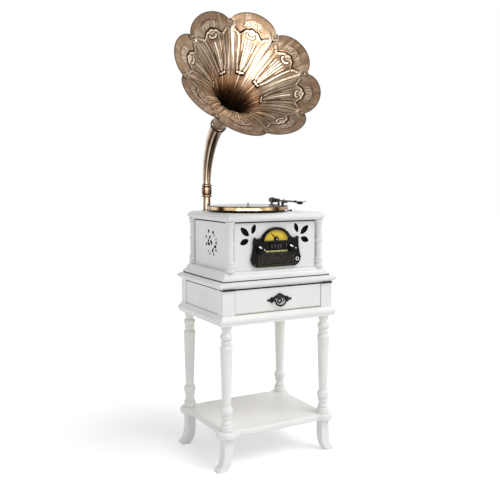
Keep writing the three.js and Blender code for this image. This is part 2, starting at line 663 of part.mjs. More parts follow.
// Side panels are thin and have a pierced scroll fret: teardrops and curls round a wavy stem. Each piercing is a
// leaf from one point to another, in shares of the fret's half width and half height, and as wide as the third
// share of the half width. The two panels mirror each other.
const FRET = { halfWidth: 34, halfHeight: 42, up: 4 };
const SIDE_THICK = 5;
const fretShares = [
  [-0.56, 1, -0.32, 0.76, 0.28], [0.3, 0.94, 0.5, 0.7, 0.3], [0.5, 0.66, 0.64, 0.52, 0.16], [-1, 0.36, -0.8, 0.5, 0.26],
  [-0.08, 0.56, -0.34, 0.28, 0.24], [-0.4, 0.24, -0.56, 0.02, 0.26], [0.88, 0.38, 1, 0.24, 0.18],
  [0.86, -0.06, 1.04, 0.12, 0.26], [-0.14, 0.2, 0.26, -0.14, 0.28], [-0.92, -0.3, -0.78, -0.04, 0.2],
  [-0.68, -0.02, -0.16, -0.2, 0.26], [1, -0.24, 0.56, -0.3, 0.26], [0.48, -0.36, 0.2, -0.76, 0.24],
  [0.84, -0.62, 1.02, -0.46, 0.26], [-0.58, -0.6, -0.44, -0.76, 0.18], [-0.26, -0.78, -0.1, -0.94, 0.18],
  [0.46, -0.74, 0.58, -1.02, 0.18],
];

function sidePanel(side) {
  const { halfWidth, halfHeight, up } = FRET;
  const width = CABINET_DEPTH - 2 * COLUMN.radius;
  const middle = CABINET_HEIGHT / 2;
  const shape = rectangle(width, CABINET_HEIGHT, 0, middle);
  const at = (x, z) => [-side * x * halfWidth, middle + up + z * halfHeight];
  for (const [x0, z0, x1, z1, widthShare] of fretShares)
    shape.holes.push(new THREE.Path(leaf(at(x0, z0), at(x1, z1), widthShare * halfWidth).getPoints(3)));
  return frontPlate(shape, SIDE_THICK);
}

// The back panel has rows of vent slots and a hole for the mains inlet.
const VENT = { width: 90, height: 4, pitch: 11, count: 5 };

function backPanel() {
  const width = CABINET_WIDTH - 2 * COLUMN.radius;
  const shape = rectangle(width, CABINET_HEIGHT, 0, CABINET_HEIGHT / 2);
  for (let i = 0; i < VENT.count; i++)
    shape.holes.push(rectangle(VENT.width, VENT.height, 0, CABINET_HEIGHT * 0.45 + i * VENT.pitch));
  shape.holes.push(rectangle(INLET.width, INLET.height, INLET.x, INLET.z));
  return frontPlate(shape, PANEL_THICK);
}

// Speaker: basket, cone and magnet, facing -Y
const SPEAKER = { radius: 36, depth: 34, flange: 3, magnet: 22, cap: 10 };

function speaker() {
  const { radius, depth, flange, magnet, cap } = SPEAKER;
  const profile = [
    [0, 0], [magnet, 0], [magnet, depth * 0.4], [cap, depth * 0.45], [radius * 0.85, depth - 2 * flange],
    [radius, depth - flange], [radius, depth], [radius * 0.86, depth], [cap, depth * 0.6], [0, depth * 0.7],
  ];
  return turned(profile, 14).rotateX(Math.PI / 2);
}

// Works: a circuit board with its transformer and capacitors, on pillars behind the radio, and the mains inlet
const WORKS = { width: 150, depth: 90, board: 2, pillar: 8, pillarRadius: 3, inset: 6, fromFront: 70 };
const TRANSFORMER = { width: 46, depth: 38, height: 36 };
const SINK = { width: 34, depth: 10, height: 26 };
const CAN = { radius: 7, height: 22, pitch: 18, stagger: 4, count: 3 };
const INLET = { width: 27, height: 20, flange: 3, flangeThick: 2, lip: 1, depth: 18, x: 105, z: 30 };

function circuitBoard() {
  const { width, depth, board, pillar, pillarRadius, inset } = WORKS;
  const sheet = block(width, depth, board, 0, 0, pillar);
  const pillars = SIDES.flatMap(([, sx]) =>
    ENDS.map(([, sy]) => bar(pillarRadius, pillar + board / 2, 8, sx * (width / 2 - inset), sy * (depth / 2 - inset))),
  );
  const top = pillar + board / 2;
  const standing = (part, x, y) => block(part.width, part.depth, part.height, x, y, top);
  const transformer = standing(TRANSFORMER, -width * 0.28, depth * 0.1);
  const sink = standing(SINK, width * 0.1, depth * 0.28);
  const cans = Array.from({ length: CAN.count }, (_, i) =>
    bar(CAN.radius, CAN.height, 8, width * 0.3 + (i % 2) * CAN.stagger, i * CAN.pitch - depth * 0.25, top),
  );
  return join(sheet, transformer, sink, ...pillars, ...cans);
}

function mainsInlet() {
  const { width, height, flange, flangeThick, lip, depth } = INLET;
  const body = block(width - 2 * GAP, depth, height - 2 * GAP, 0, -depth / 2, -height / 2 + GAP);
  const plateY = GAP + flangeThick / 2;
  const plate = block(width + 2 * flange, flangeThick, height + 2 * flange, 0, plateY, -height / 2 - flange);
  const neck = block(width - 2 * flange, 2 * flangeThick, height - 2 * flange, 0, 0, flange - height / 2);
  const rim = flange + lip;
  const mouth = block(width - 2 * rim, depth, height - 2 * rim, 0, 0, rim - height / 2);
  return cut(join(body, plate, neck), mouth);
}

// Lid: a board with a rounded moulded edge, bored for the spindle, the motor, the tonearm and the horn column
const turntableAt = { x: -35, y: -13.4 };
const armAt = { insetX: 49, insetY: 65.4 };
const columnAt = { insetX: 64, insetY: 26.4 };
const armX = lidHalfX - armAt.insetX;
const armY = lidHalfY - armAt.insetY;
const hornX = -lidHalfX + columnAt.insetX;
const hornY = lidHalfY - columnAt.insetY;
const SPINDLE = { radius: 3.6, above: 13, tip: 2, bush: 9, bushLength: 20 };
const MOTOR = { radius: 18, height: 26, shaft: 2, reach: 108, angle: 140 };
const motorX = MOTOR.reach * Math.cos((MOTOR.angle * Math.PI) / 180);
const motorY = MOTOR.reach * Math.sin((MOTOR.angle * Math.PI) / 180);

function lidBoard() {
  const { edge } = lid;
  const t = LID_THICK;
  const board = mouldedBoard(lidHalfX, lidHalfY, [
    [edge * 0.45, 0], [edge * 0.4, t * 0.12], [edge * 0.1, t * 0.2], [0, t * 0.3], [0, t * 0.44],
    [edge * 0.1, t * 0.62], [edge * 0.32, t * 0.78], [edge * 0.62, t * 0.86], [edge * 0.8, t * 0.9], [edge, t],
  ]);
  const through = (radius, x, y) => bar(radius, t + 2 * OVERRUN, 16, x, y, -OVERRUN);
  return cut(
    board,
    through(SPINDLE.bush + GAP, turntableAt.x, turntableAt.y),
    through(MOTOR.shaft * 3, turntableAt.x + motorX, turntableAt.y + motorY),
  );
}

// Turntable: base plate, platter with its spindle, mat, belt, pulley and motor
const BASE = { radius: 127, height: 7.5, pulleyGap: 2 };
const PLATTER = { rim: 10, skin: 2.5, skirt: 4, round: 1, groove: 1.5, ring: 88, ringWall: 4, ringDrop: 6, hub: 12 };
const MAT = { radius: 136, thick: 3, round: 1 };
const BELT = { thick: 1, height: 4 };
const PULLEY = { radius: 7, height: 6 };
const TURN_SIDES = 28;

function turntableBase() {
  const { radius, height } = BASE;
  const { radius: pin, bush, bushLength } = SPINDLE;
  const profile = [
    [pin + GAP, -bushLength], [bush, -bushLength], [bush, 0], [radius, 0], [radius, height * 0.7],
    [radius - height * 0.3, height], [pin + GAP, height], [pin + GAP, -bushLength],
  ];
  const plate = turned(profile, TURN_SIDES);
  return cut(plate, bar(PULLEY.radius + BASE.pulleyGap, height + 2 * OVERRUN, 16, motorX, motorY, -OVERRUN));
}

function platter() {
  const { rim, skin, skirt, round, groove, ring, ringWall, ringDrop, hub } = PLATTER;
  const { radius: pin, above, tip, bushLength } = SPINDLE;
  const R = PLATTER_RADIUS;
  const under = rim - skin;
  const profile = [
    [0, -bushLength], [pin, -bushLength], [pin, GAP], [hub, GAP], [hub, under], [ring - ringWall, under],
    [ring - ringWall, under - ringDrop], [ring, under - ringDrop], [ring, under], [R - skirt, under], [R - skirt, 0],
    [R - round, 0], [R, rim * 0.2], [R - groove, rim * 0.45], [R - groove, rim * 0.6], [R, rim * 0.8],
    [R - round, rim], [pin, rim], [pin, rim + above - tip], [pin * 0.5, rim + above], [0, rim + above],
  ];
  return turned(profile, TURN_SIDES);
}

function platterMat() {
  const { radius, thick, round } = MAT;
  const hole = SPINDLE.radius + GAP;
  const profile = [[hole, 0], [radius, 0], [radius, thick - round], [radius - round, thick], [hole, thick], [hole, 0]];
  return turned(profile, TURN_SIDES);
}

// The belt runs round the platter's ring and the pulley, along their two outer tangents.
function driveBelt() {
  const big = PLATTER.ring + GAP;
  const small = PULLEY.radius + GAP;
  const outline = (extra) => {
    const lean = Math.acos((big - small) / MOTOR.reach);
    const toMotor = (MOTOR.angle * Math.PI) / 180;
    const points = [];
    const arc = (cx, cy, radius, from, to, steps) => {
      for (let i = 0; i <= steps; i++) {
        const angle = from + ((to - from) * i) / steps;
        points.push(new THREE.Vector2(cx + radius * Math.cos(angle), cy + radius * Math.sin(angle)));
      }
    };
    arc(0, 0, big + extra, toMotor + lean, toMotor + 2 * Math.PI - lean, 30);
    arc(motorX, motorY, small + extra, toMotor - lean, toMotor + lean, 6);
    return points;
  };
  const shape = new THREE.Shape(outline(BELT.thick));
  shape.holes.push(new THREE.Path(outline(0)));
  return flatPlate(shape, BELT.height);
}

function pulleyHub() {
  const { radius, height } = PULLEY;
  const hole = MOTOR.shaft + GAP / 2;
  return turned([[hole, 0], [radius, 0], [radius, height], [hole, height], [hole, 0]], 14);
}

function motorCan() {
  const { radius, height, shaft } = MOTOR;
  const reach = LID_THICK + BASE.height + PULLEY.height;
  return turned([[0, -height], [radius, -height], [radius, 0], [shaft, 0], [shaft, reach], [0, reach]], 14);
}

// Tonearm: pedestal, yoke, arm tube, counterweight, headshell and rest
const ARM = { length: 208, restAngle: 7, height: 33, tube: 3, tail: 38, pedestal: 20, pedestalHeight: 14 };
const YOKE = { width: 24, disc: 4, cheek: 4, cheekDepth: 12, above: 6 };
const BEARING = { width: 14, depth: 20, pin: 2 };
const armTurn = (-ARM.restAngle * Math.PI) / 180;
const HEAD = { length: 40, width: 18, thick: 3, cartridge: 12, cartridgeDrop: 6.5, stylusTop: 1.2, stylusLength: 4 };
const FINGER = { width: 2.5, thick: 1.6 };
const WEIGHT = { radius: 10, length: 20, from: 18 };
const REST = { along: 66, radius: 4.5, prong: 3, prongRise: 11, bracket: 5, bar: 24 };
const LEVER = { x: 112, y: -41.4, radius: 5.5, length: 16, thick: 3 };

// The pedestal carries the arm's yoke, and a bracket from it ends in the rest: a post with a crossbar under
// the tube and one prong outside it, so that the arm swings off towards the record.
function armPedestal() {
  const { pedestal, pedestalHeight, height, tube } = ARM;
  const { along, radius, prong: width, prongRise, bracket, bar: crossbarWidth } = REST;
  const base = turned(
    [
      [0, 0], [pedestal, 0], [pedestal, pedestalHeight * 0.3], [pedestal * 0.8, pedestalHeight * 0.45],
      [pedestal * 0.75, pedestalHeight], [0, pedestalHeight],
    ],
    16,
  );
  const seat = height - tube - GAP;
  const post = bar(radius, seat, 14, 0, -along, 0);
  const arm = block(2 * radius, along, bracket, 0, -along / 2, 0);
  const crossbar = block(crossbarWidth, 2 * radius, bracket, crossbarWidth / 4, -along, seat - bracket);
  const prong = block(width, 2 * radius, prongRise + bracket, tube + GAP + width / 2, -along, seat - bracket);
  return join(base, post, arm, crossbar, prong);
}

// The yoke turns on the pedestal and holds the arm's two side pins.
function armYoke() {
  const { width, disc, cheek, cheekDepth, above } = YOKE;
  const rise = ARM.height - ARM.pedestalHeight;
  const plate = bar(width / 2 + cheek, disc, 16, 0, 0, GAP);
  const cheeks = [-1, 1].map((side) => block(cheek, cheekDepth, rise + above, (side * (width + cheek)) / 2, 0, GAP));
  const hole = BEARING.pin + GAP;
  const pinHole = new THREE.CylinderGeometry(hole, hole, 2 * width, 10).rotateZ(Math.PI / 2).translate(0, 0, rise);
  return cut(geometryOf(solidOf(join(plate, ...cheeks))), pinHole);
}

// The arm tube runs along -Y from the pivot at the origin, with its bearing block, side pins and tail.
function armTube() {
  const { length, tube, tail } = ARM;
  const { width, depth, pin } = BEARING;
  const front = length - HEAD.length * 0.7;
  const shaft = new THREE.CylinderGeometry(tube, tube, front + tail, 10).translate(0, (tail - front) / 2, 0);
  const housing = block(width, depth, width, 0, 0, -width / 2);
  const pins = new THREE.CylinderGeometry(pin, pin, YOKE.width + YOKE.cheek, 10).rotateZ(Math.PI / 2);
  return join(shaft, housing, pins);
}

function headshell() {
  const { length, width, thick, cartridge, cartridgeDrop, stylusTop, stylusLength } = HEAD;
  const shape = new THREE.Shape();
  shape.moveTo(-width * 0.3, 0);
  shape.lineTo(width * 0.3, 0);
  shape.lineTo(width / 2, -length * 0.3);
  shape.lineTo(width / 2, -length);
  shape.lineTo(-width / 2, -length);
  shape.lineTo(-width / 2, -length * 0.3);
  shape.closePath();
  const plate = flatPlate(shape, thick).translate(0, 0, -thick);
  const body = block(cartridge, length * 0.6, cartridgeDrop, 0, -length * 0.62, -thick - cartridgeDrop + GAP);
  const stylus = new THREE.CylinderGeometry(stylusTop, stylusTop / 3, stylusLength, 6)
    .rotateX(Math.PI / 2)
    .translate(0, -length * 0.8, -thick - cartridgeDrop);
  const finger = block(width * 0.8, FINGER.width, FINGER.thick, width * 0.7, -length * 0.8, -thick * 0.8);
  return join(plate, body, stylus, finger);
}

function counterweight() {
  const { radius, length } = WEIGHT;
  const hole = ARM.tube + GAP;
  const profile = [
    [hole, 0], [radius * 0.8, 0], [radius, length * 0.12], [radius, length * 0.88], [radius * 0.8, length],
    [hole, length], [hole, 0],
  ];
  return turned(profile, 14).rotateX(-Math.PI / 2);
}

// A small switch lever beside the platter.
function speedLever() {
  const { radius, length, thick } = LEVER;
  const hub = bar(radius, thick, 12);
  const arm = block(radius, length, thick, 0, -length / 2);
  const tip = bar(radius * 0.5, thick * 2, 8, 0, -length);
  return join(hub, arm, tip);
}

// Horn: column and collar, elbow, neck ring and the petal bell
const TUBE = { radius: 13, wall: 2, height: 95, collar: 19, neckIn: 3, stepIn: 0.5, lip: 1.5, spigot: 40, sides: 14 };
const FLANGE = { radius: 16, thick: 2, fillet: 2 };
const ELBOW = { radius: 224, end: 24, wall: 1.6, sides: 14, steps: 7 };
const HORN_HEADING = -95.2; // degrees from +X, so nearly straight to the front
const HORN_TILT = 29.2; // degrees above level
const SEAM_TURN = 4.8; // degrees that the first seam stands above level
const NECK = { radius: 28.5, length: 9, sleeve: 12, taper: 2, lip: 1 };
const BELL = { neck: 22, wall: 1.6, perPetal: 8, rings: 7, tipOut: 31.6, tipRise: 23, rib: 2.5 };
const ROSETTE = { radius: 12.5, thick: 4, share: 0.978 }; // its middle is at that share of the way to the rim
const CONE_SHARE = 0.2; // of the bell's flare that is a plain cone
const FLARE_POWER = 3.4;
const ARCH_POWER = 0.62; // roundness of a petal's end

function hornColumn() {
  const { radius, wall, height, collar, neckIn, stepIn, lip, sides } = TUBE;
  const { radius: flange, thick, fillet } = FLANGE;
  const bore = radius - wall;
  const rise = (share) => height * share;
  const profile = [
    [bore, 0], [flange, 0], [flange, thick], [radius, thick + fillet], [radius, rise(0.5)], [collar, rise(0.52)],
    [collar, rise(0.57)], [collar - neckIn, rise(0.59)], [collar - stepIn, rise(0.61)], [collar - stepIn, rise(0.86)],
    [collar - neckIn, rise(0.88)], [collar, rise(0.9)], [collar, rise(0.95)], [radius + lip, rise(0.97)],
    [radius + lip, rise(1)], [bore, rise(1)], [bore, 0],
  ];
  return turned(profile, sides);
}

// The spigot runs inside the column's bore, which is narrowest at the middle of its flat sides.
const spigotRadius = (TUBE.radius - TUBE.wall) * Math.cos(Math.PI / TUBE.sides) - GAP;

// The elbow rises out of the column, with a spigot inside it, and bends by a round arc towards the front.
const turnAngle = Math.PI / 2 - (HORN_TILT * Math.PI) / 180;

function elbowRings() {
  const rings = [];
  const ring = (y, z, angle, radius) =>
    rings.push({
      centre: new THREE.Vector3(0, y, z),
      across: new THREE.Vector3(1, 0, 0),
      up: new THREE.Vector3(0, Math.cos(angle), Math.sin(angle)),
      radius,
    });
  ring(0, -TUBE.spigot, 0, spigotRadius);
  ring(0, GAP, 0, spigotRadius);
  ring(0, GAP, 0, TUBE.radius);
  for (let i = 1; i <= ELBOW.steps; i++) {
    const share = i / ELBOW.steps;
    const angle = share * turnAngle;
    const radius = TUBE.radius + (ELBOW.end - TUBE.radius) * share;
    ring(-ELBOW.radius * (1 - Math.cos(angle)), GAP + ELBOW.radius * Math.sin(angle), angle, radius);
  }
  return rings;
}

// The elbow's ring frames lean forward with the arc, and its bore is narrower inside the spigot.
function hornElbow() {
  const rings = elbowRings();
  const points = [];
  const skin = (radiusOf) =>
    rings.forEach((r, index) => {
      for (let i = 0; i < ELBOW.sides; i++) {
        const angle = (2 * Math.PI * i) / ELBOW.sides;
        const reach = radiusOf(r.radius, index);
        const at = r.centre
          .clone()
          .addScaledVector(r.across, reach * Math.cos(angle))
          .addScaledVector(r.up, reach * Math.sin(angle));
        points.push(at.x, at.y, at.z);
      }
    });
  skin((radius) => radius);
  skin((radius, index) => (index < 3 ? spigotRadius : radius) - ELBOW.wall);
  return closedSkins(points, rings.length, ELBOW.sides);
}

const neckAt = [0, -ELBOW.radius * (1 - Math.cos(turnAngle)), GAP + ELBOW.radius * Math.sin(turnAngle)];

function neckRing() {
  const { radius, length, sleeve, taper, lip } = NECK;
  const bore = (ELBOW.end - ELBOW.wall) * Math.cos(Math.PI / ELBOW.sides) - GAP;
  const inner = bore - ELBOW.wall;
  return turned(
    [
      [inner - taper, -sleeve], [bore - taper, -sleeve], [bore, GAP], [ELBOW.end, GAP], [radius, length * 0.3],
      [radius, length * 0.8], [ELBOW.end + lip, length], [inner, length], [inner - taper, -sleeve],
    ],
    ELBOW.sides,
  );
}

// The bell's meridian as a share of the way out, at a share of the way up: a cone that flares.
const flareAt = (share) => CONE_SHARE * share + (1 - CONE_SHARE) * Math.pow(share, FLARE_POWER);

// A point of the bell: share runs from the neck to the rim, across from -1 to 1 over one petal,
// and offset is how far outside the middle of the sheet the point lies. A rib stands up inside along each seam.
function bellPoint(petal, across, share, offset) {
  const arch = Math.pow(Math.max(0, 1 - across * across), ARCH_POWER);
  const reach = HORN_RADIUS + BELL.tipOut * arch - BELL.neck;
  const height = HORN_LENGTH + BELL.tipRise * arch;
  const step = 0.01;
  const behind = Math.max(0, share - step);
  const slope = Math.atan2((flareAt(behind + step) - flareAt(behind)) * reach, step * height);
  const raised = offset - BELL.rib * Math.pow(across, 8) * Math.sin(Math.PI * share);
  const radius = BELL.neck + reach * flareAt(share) + raised * Math.cos(slope);
  const z = height * share - raised * Math.sin(slope) * Math.min(1, share / (4 * step));
  const angle = (2 * Math.PI * (petal + 0.5 + across / 2)) / PETALS;
  return [radius * Math.cos(angle), radius * Math.sin(angle), z];
}

function hornBell() {
  const { perPetal, rings, wall } = BELL;
  const points = [];
  for (const offset of [wall / 2, -wall / 2])
    for (let ring = 0; ring <= rings; ring++)
      for (let petal = 0; petal < PETALS; petal++)
        for (let step = 0; step < perPetal; step++)
          points.push(...bellPoint(petal, -1 + (2 * step) / perPetal, Math.pow(ring / rings, 0.8), offset));
  const sheet = closedSkins(points, rings + 1, PETALS * perPetal);
  const { radius, thick, share } = ROSETTE;
  const rimSlope = Math.atan2((1 - flareAt(share)) * (HORN_RADIUS - BELL.neck), (1 - share) * HORN_LENGTH);
  const rosettes = Array.from({ length: PETALS }, (_, petal) => {
    const [x, y, z] = bellPoint(petal, -1, share, 0);
    return new THREE.CylinderGeometry(radius, radius, thick, 8)
      .rotateX(Math.PI / 2)
      .rotateY(rimSlope - Math.PI / 2)
      .rotateZ(Math.atan2(y, x))
      .translate(x, y, z);
  });
  return join(sheet, ...rosettes);
}

// Assembly
const stand = group(
  piece("shelf", shelf(), paint, [0, 0, shelfBottom]),
  piece("case_moulding", mouldingFrame(), paint, [0, 0, caseBottom]),
  piece("case_board", caseBoard(), bareWood, [0, 0, boardBottom]),
  piece("apron_back", backApron(), paint, [0, caseOutY - apron.inset - apron.thick / 2, caseBottom]),
  piece("tabletop", tabletopBoard(), paint, [0, 0, tabletopBottom]),
);
for (const [sideName, sx] of SIDES) {
  const apronX = sx * (caseOutX - apron.inset - apron.thick / 2);
  stand.add(piece(`apron_${sideName}`, sideApron(), paint, [apronX, 0, caseBottom]));
  for (const [endName, sy] of ENDS) {
    stand.add(piece(`foot_${endName}_${sideName}`, foot(sx), paint, [sx * legX, sy * legY, 0]));
    stand.add(piece(`leg_${endName}_${sideName}`, leg(sx, sy), paint, [sx * legX, sy * legY, legBottom]));
  }
}

const drawerGroup = group(
  ...drawerParts(),
  piece("pull_plate", pullPlate(), blackIron, [0, drawerFace - GAP, pullZ]),
  piece("pull_bail", pullBail(), blackIron, [0, drawerFace - GAP, pullZ]),
);

const worksY = WORKS.fromFront - cabinetY + WORKS.depth / 2;
const cabinet = group(
  piece("plinth", plinthBoard(), paint, [0, 0, plinthBottom]),
  piece("front_panel", frontPanel(), paint, [0, -cabinetY + PANEL_THICK, cabinetBottom]),
  piece("back_panel", backPanel(), paint, [0, cabinetY, cabinetBottom]),
  piece("lid", lidBoard(), paint, [0, 0, lidBottom]),
  piece("circuit_board", circuitBoard(), circuitGreen, [0, worksY, plinthTop + GAP]),
  piece("mains_inlet", mainsInlet(), blackPlastic, [INLET.x, cabinetY, cabinetBottom + INLET.z]),
);
for (const [sideName, sx] of SIDES) {
  const panelX = sx * (cabinetX - SIDE_THICK);
  const panel = piece(`side_panel_${sideName}`, sidePanel(sx), paint, [panelX, 0, cabinetBottom]);
  panel.rotation.z = (sx * Math.PI) / 2;
  cabinet.add(panel);
  for (const [endName, sy] of ENDS)
    cabinet.add(
      piece(`column_${endName}_${sideName}`, cornerColumn(sx, sy), paint, [
        sx * (cabinetX + COLUMN.out), sy * (cabinetY + COLUMN.out), cabinetBottom,
      ]),
    );
  const speakerY = -cabinetY + PANEL_THICK + GAP + SPEAKER.depth;
  const speakerX = RADIO.x + sx * speakerShares.x * CABINET_WIDTH;
  const speakerZ = cabinetBottom + speakerShares.z * CABINET_HEIGHT;
  cabinet.add(piece(`speaker_${sideName}`, speaker(), paperCone, [speakerX, speakerY, speakerZ]));
}

const radioFace = -cabinetY - GAP; // y of the bezel's back
const dialFace = radioFace - RADIO.thick + DIAL.sunk + DIAL.thick - GAP;
const needleFace = dialFace - DIAL.thick - GAP;
const radio = group(
  piece("radio_bezel", radioBezel(), blackPlastic, [0, radioFace, RADIO_BOTTOM]),
  piece("dial_face", dialPlate(), dialYellow, [0, dialFace, RADIO_BOTTOM]),
  piece("dial_needle", dialNeedle(radioFace - needleFace - GAP), blackPlastic, [
    0, needleFace, RADIO_BOTTOM + DIAL.bottom + DIAL.hubUp,
  ]),
);
for (const [name, side] of [["volume_knob", -1], ["tuning_knob", 1]])
  radio.add(piece(name, knob(), blackPlastic, [side * KNOB.x, radioFace - RADIO.thick - GAP, RADIO_BOTTOM + KNOB.z]));
for (let i = 0; i < KEY.count; i++) {
  const keyY = radioFace - RADIO.thick - KEY.proud + KEY.depth / 2;
  const keyX = KEY.x + i * KEY.pitch;
  radio.add(piece(`key_${i + 1}`, panelKey(), blackPlastic, [keyX, keyY, RADIO_BOTTOM + KEY.z]));
}

const platterBottom = BASE.height + GAP;
const beltBottom = platterBottom + PLATTER.rim - PLATTER.skin - PLATTER.ringDrop + GAP;
const turntable = group(
  piece("turntable_base", turntableBase(), blackPlastic, [0, 0, GAP]),
  piece("platter", platter(), bronze, [0, 0, GAP + platterBottom]),
  piece("platter_mat", platterMat(), rubber, [0, 0, 2 * GAP + platterBottom + PLATTER.rim]),
  piece("drive_belt", driveBelt(), rubber, [0, 0, GAP + beltBottom]),
  piece("motor_pulley", pulleyHub(), steel, [motorX, motorY, beltBottom]),
  piece("motor", motorCan(), steel, [motorX, motorY, -LID_THICK - GAP]),
);
turntable.position.set(turntableAt.x, turntableAt.y, lidTop);

const headY = HEAD.length * 0.7 - ARM.length - GAP;
const arm = group(
  piece("arm_pedestal", armPedestal(), blackPlastic),
  piece("arm_yoke", armYoke(), blackPlastic, [0, 0, ARM.pedestalHeight]),
  piece("arm_tube", armTube(), steel, [0, 0, ARM.height]),
  piece("headshell", headshell(), blackPlastic, [0, headY, ARM.height + HEAD.thick / 2]),
  piece("counterweight", counterweight(), blackPlastic, [0, WEIGHT.from, ARM.height]),
);
arm.rotation.z = armTurn;
arm.position.set(armX, armY, lidTop + GAP);

const lever = group(piece("speed_lever", speedLever(), blackPlastic));
lever.position.set(LEVER.x, LEVER.y, lidTop + GAP);

const bellAxis = group(
  piece("neck_ring", neckRing(), blackIron),
  piece("horn_bell", hornBell().rotateZ((SEAM_TURN * Math.PI) / 180), bronze, [0, 0, NECK.length + GAP]),
);
bellAxis.position.set(...neckAt);
bellAxis.rotation.x = turnAngle;
const elbow = group(piece("horn_elbow", hornElbow(), bronze), bellAxis);
elbow.position.z = TUBE.height;
elbow.rotation.z = ((HORN_HEADING + 90) * Math.PI) / 180;
const horn = group(piece("horn_column", hornColumn(), bronze), elbow);
horn.position.set(hornX, hornY, lidTop + GAP);

radio.position.x = RADIO.x;
const upper = group(cabinet, radio, turntable, arm, lever, horn);
upper.position.y = CABINET_BACK;
const player = group(stand, drawerGroup, upper);

// The origin is the middle of the whole object's footprint on the floor.
player.updateMatrixWorld(true);
const bounds = new THREE.Box3().setFromObject(player, true);
const centre = bounds.getCenter(new THREE.Vector3());
player.position.set(-centre.x, -centre.y, -bounds.min.z);

export default player;
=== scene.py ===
# %% [markdown]
# # A retro record player on a painted table
#
# The real object is a small table with turned legs and a drawer, a cabinet with a radio front, a belt driven
# turntable and a petal horn of pressed, antiqued metal. Everything below is worked out from the frame, which
# gives each node's box in metres, so a piece goes where its node is and needs no fitting.

# %% The frame
import json
import math
import bmesh
import bpy
import numpy as np
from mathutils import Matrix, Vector


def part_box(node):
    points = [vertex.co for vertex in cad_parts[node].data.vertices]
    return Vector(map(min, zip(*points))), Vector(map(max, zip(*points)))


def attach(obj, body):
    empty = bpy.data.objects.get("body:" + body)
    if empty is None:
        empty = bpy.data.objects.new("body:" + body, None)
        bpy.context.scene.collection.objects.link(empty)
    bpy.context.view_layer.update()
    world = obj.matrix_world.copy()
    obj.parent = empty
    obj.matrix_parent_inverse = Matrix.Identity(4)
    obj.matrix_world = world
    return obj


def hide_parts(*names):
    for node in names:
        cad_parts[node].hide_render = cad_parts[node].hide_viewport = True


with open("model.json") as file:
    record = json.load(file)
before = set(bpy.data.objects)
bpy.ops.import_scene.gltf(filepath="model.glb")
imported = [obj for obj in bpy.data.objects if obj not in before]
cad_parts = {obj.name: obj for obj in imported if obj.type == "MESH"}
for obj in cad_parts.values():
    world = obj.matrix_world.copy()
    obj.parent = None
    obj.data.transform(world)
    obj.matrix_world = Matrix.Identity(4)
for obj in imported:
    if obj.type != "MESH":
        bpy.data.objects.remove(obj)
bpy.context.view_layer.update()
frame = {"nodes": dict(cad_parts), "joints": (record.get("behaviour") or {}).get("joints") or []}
MM = 0.001
TURN = 2 * math.pi
joints = {joint["name"]: joint for joint in frame["joints"]}


def span(node):
    """Lowest and highest corner of a node's box, in millimetres."""
    low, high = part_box(node)
    return np.array(low) / MM, np.array(high) / MM


def pivot(joint):
    """The point on a joint's axis, in millimetres."""
    return np.array(joints[joint]["pos_m"]) / MM


middle = sum(span("shelf")) / 2
table_x, table_y = middle[:2]
print("the table stands at", middle.round(1), "and the frame has", len(frame["nodes"]), "nodes")

# %% [markdown]
# ## Camera and light
#
# The photograph looks at the front and the left side from a little above the middle of the object. The camera
# is tilted down by a few degrees, and a small shift gives the rest of the framing, so that the legs stay
# nearly parallel as they are there. A second way would be a level camera with a larger shift, but other views
# keep the shift too, and the object would leave their frame.

# %% Camera
PHOTO_WIDTH = 500  # pixels, and the photograph is square
FOCAL = 706.91  # in the photograph's pixels
PITCH, YAW = 3.5, 28.991  # degrees down, and turned from straight ahead
STAND = (-1201.7, -2129.5, 940.0)  # from the table's middle, and above the floor, in millimetres
SHIFT = -28.1  # pixels

lens = bpy.data.cameras.new("camera")
lens.sensor_width = 36
lens.lens = lens.sensor_width * FOCAL / PHOTO_WIDTH
lens.shift_y = SHIFT / PHOTO_WIDTH
camera = bpy.data.objects.new("camera", lens)
camera.location = ((STAND[0] + table_x) * MM, (STAND[1] + table_y) * MM, STAND[2] * MM)
camera.rotation_euler = (math.radians(90 - PITCH), 0, -math.radians(YAW))
bpy.context.scene.collection.objects.link(camera)
bpy.context.scene.camera = camera
bpy.context.scene.view_settings.view_transform = "Standard"
print("lens", round(lens.lens, 1), "mm")

# %% [markdown]
# A node is added to a material or to the world by one small function: it takes the node's kind, what goes
# into its sockets, either a value or another node's output, and its settings.

# %% Nodes and colours
def add(tree, kind, inputs=None, **settings):
    """A shader node with its settings, and a value or a link for each socket that is named."""
    node = tree.nodes.new("ShaderNode" + kind)
    for name, value in settings.items():
        setattr(node, name, value)
    for socket, value in (inputs or {}).items():
        if isinstance(value, bpy.types.NodeSocket):
            tree.links.new(value, node.inputs[socket])
        else:
            node.inputs[socket].default_value = value
    return node


def colour(code):
    """An sRGB hex colour as linear red, green, blue and alpha."""
    parts = np.array([int(code[i : i + 2], 16) for i in (1, 3, 5)]) / 255
    linear = np.where(parts <= 0.04045, parts / 12.92, ((parts + 0.055) / 1.055) ** 2.4)
    return (*linear, 1.0)


# %% [markdown]
# The sky is plain white for the camera and for what metal reflects, and dimmer for the light that it gives,
# so that the mouldings keep their modelling. The key is a broad soft source, high up and a little in front
# and to the right, here a sun lamp with a wide angle: it lights the floor evenly right out to the horizon,
# which a lamp close by would not. It leaves the left side of white furniture a step darker than its front,
# and its tops nearly white.

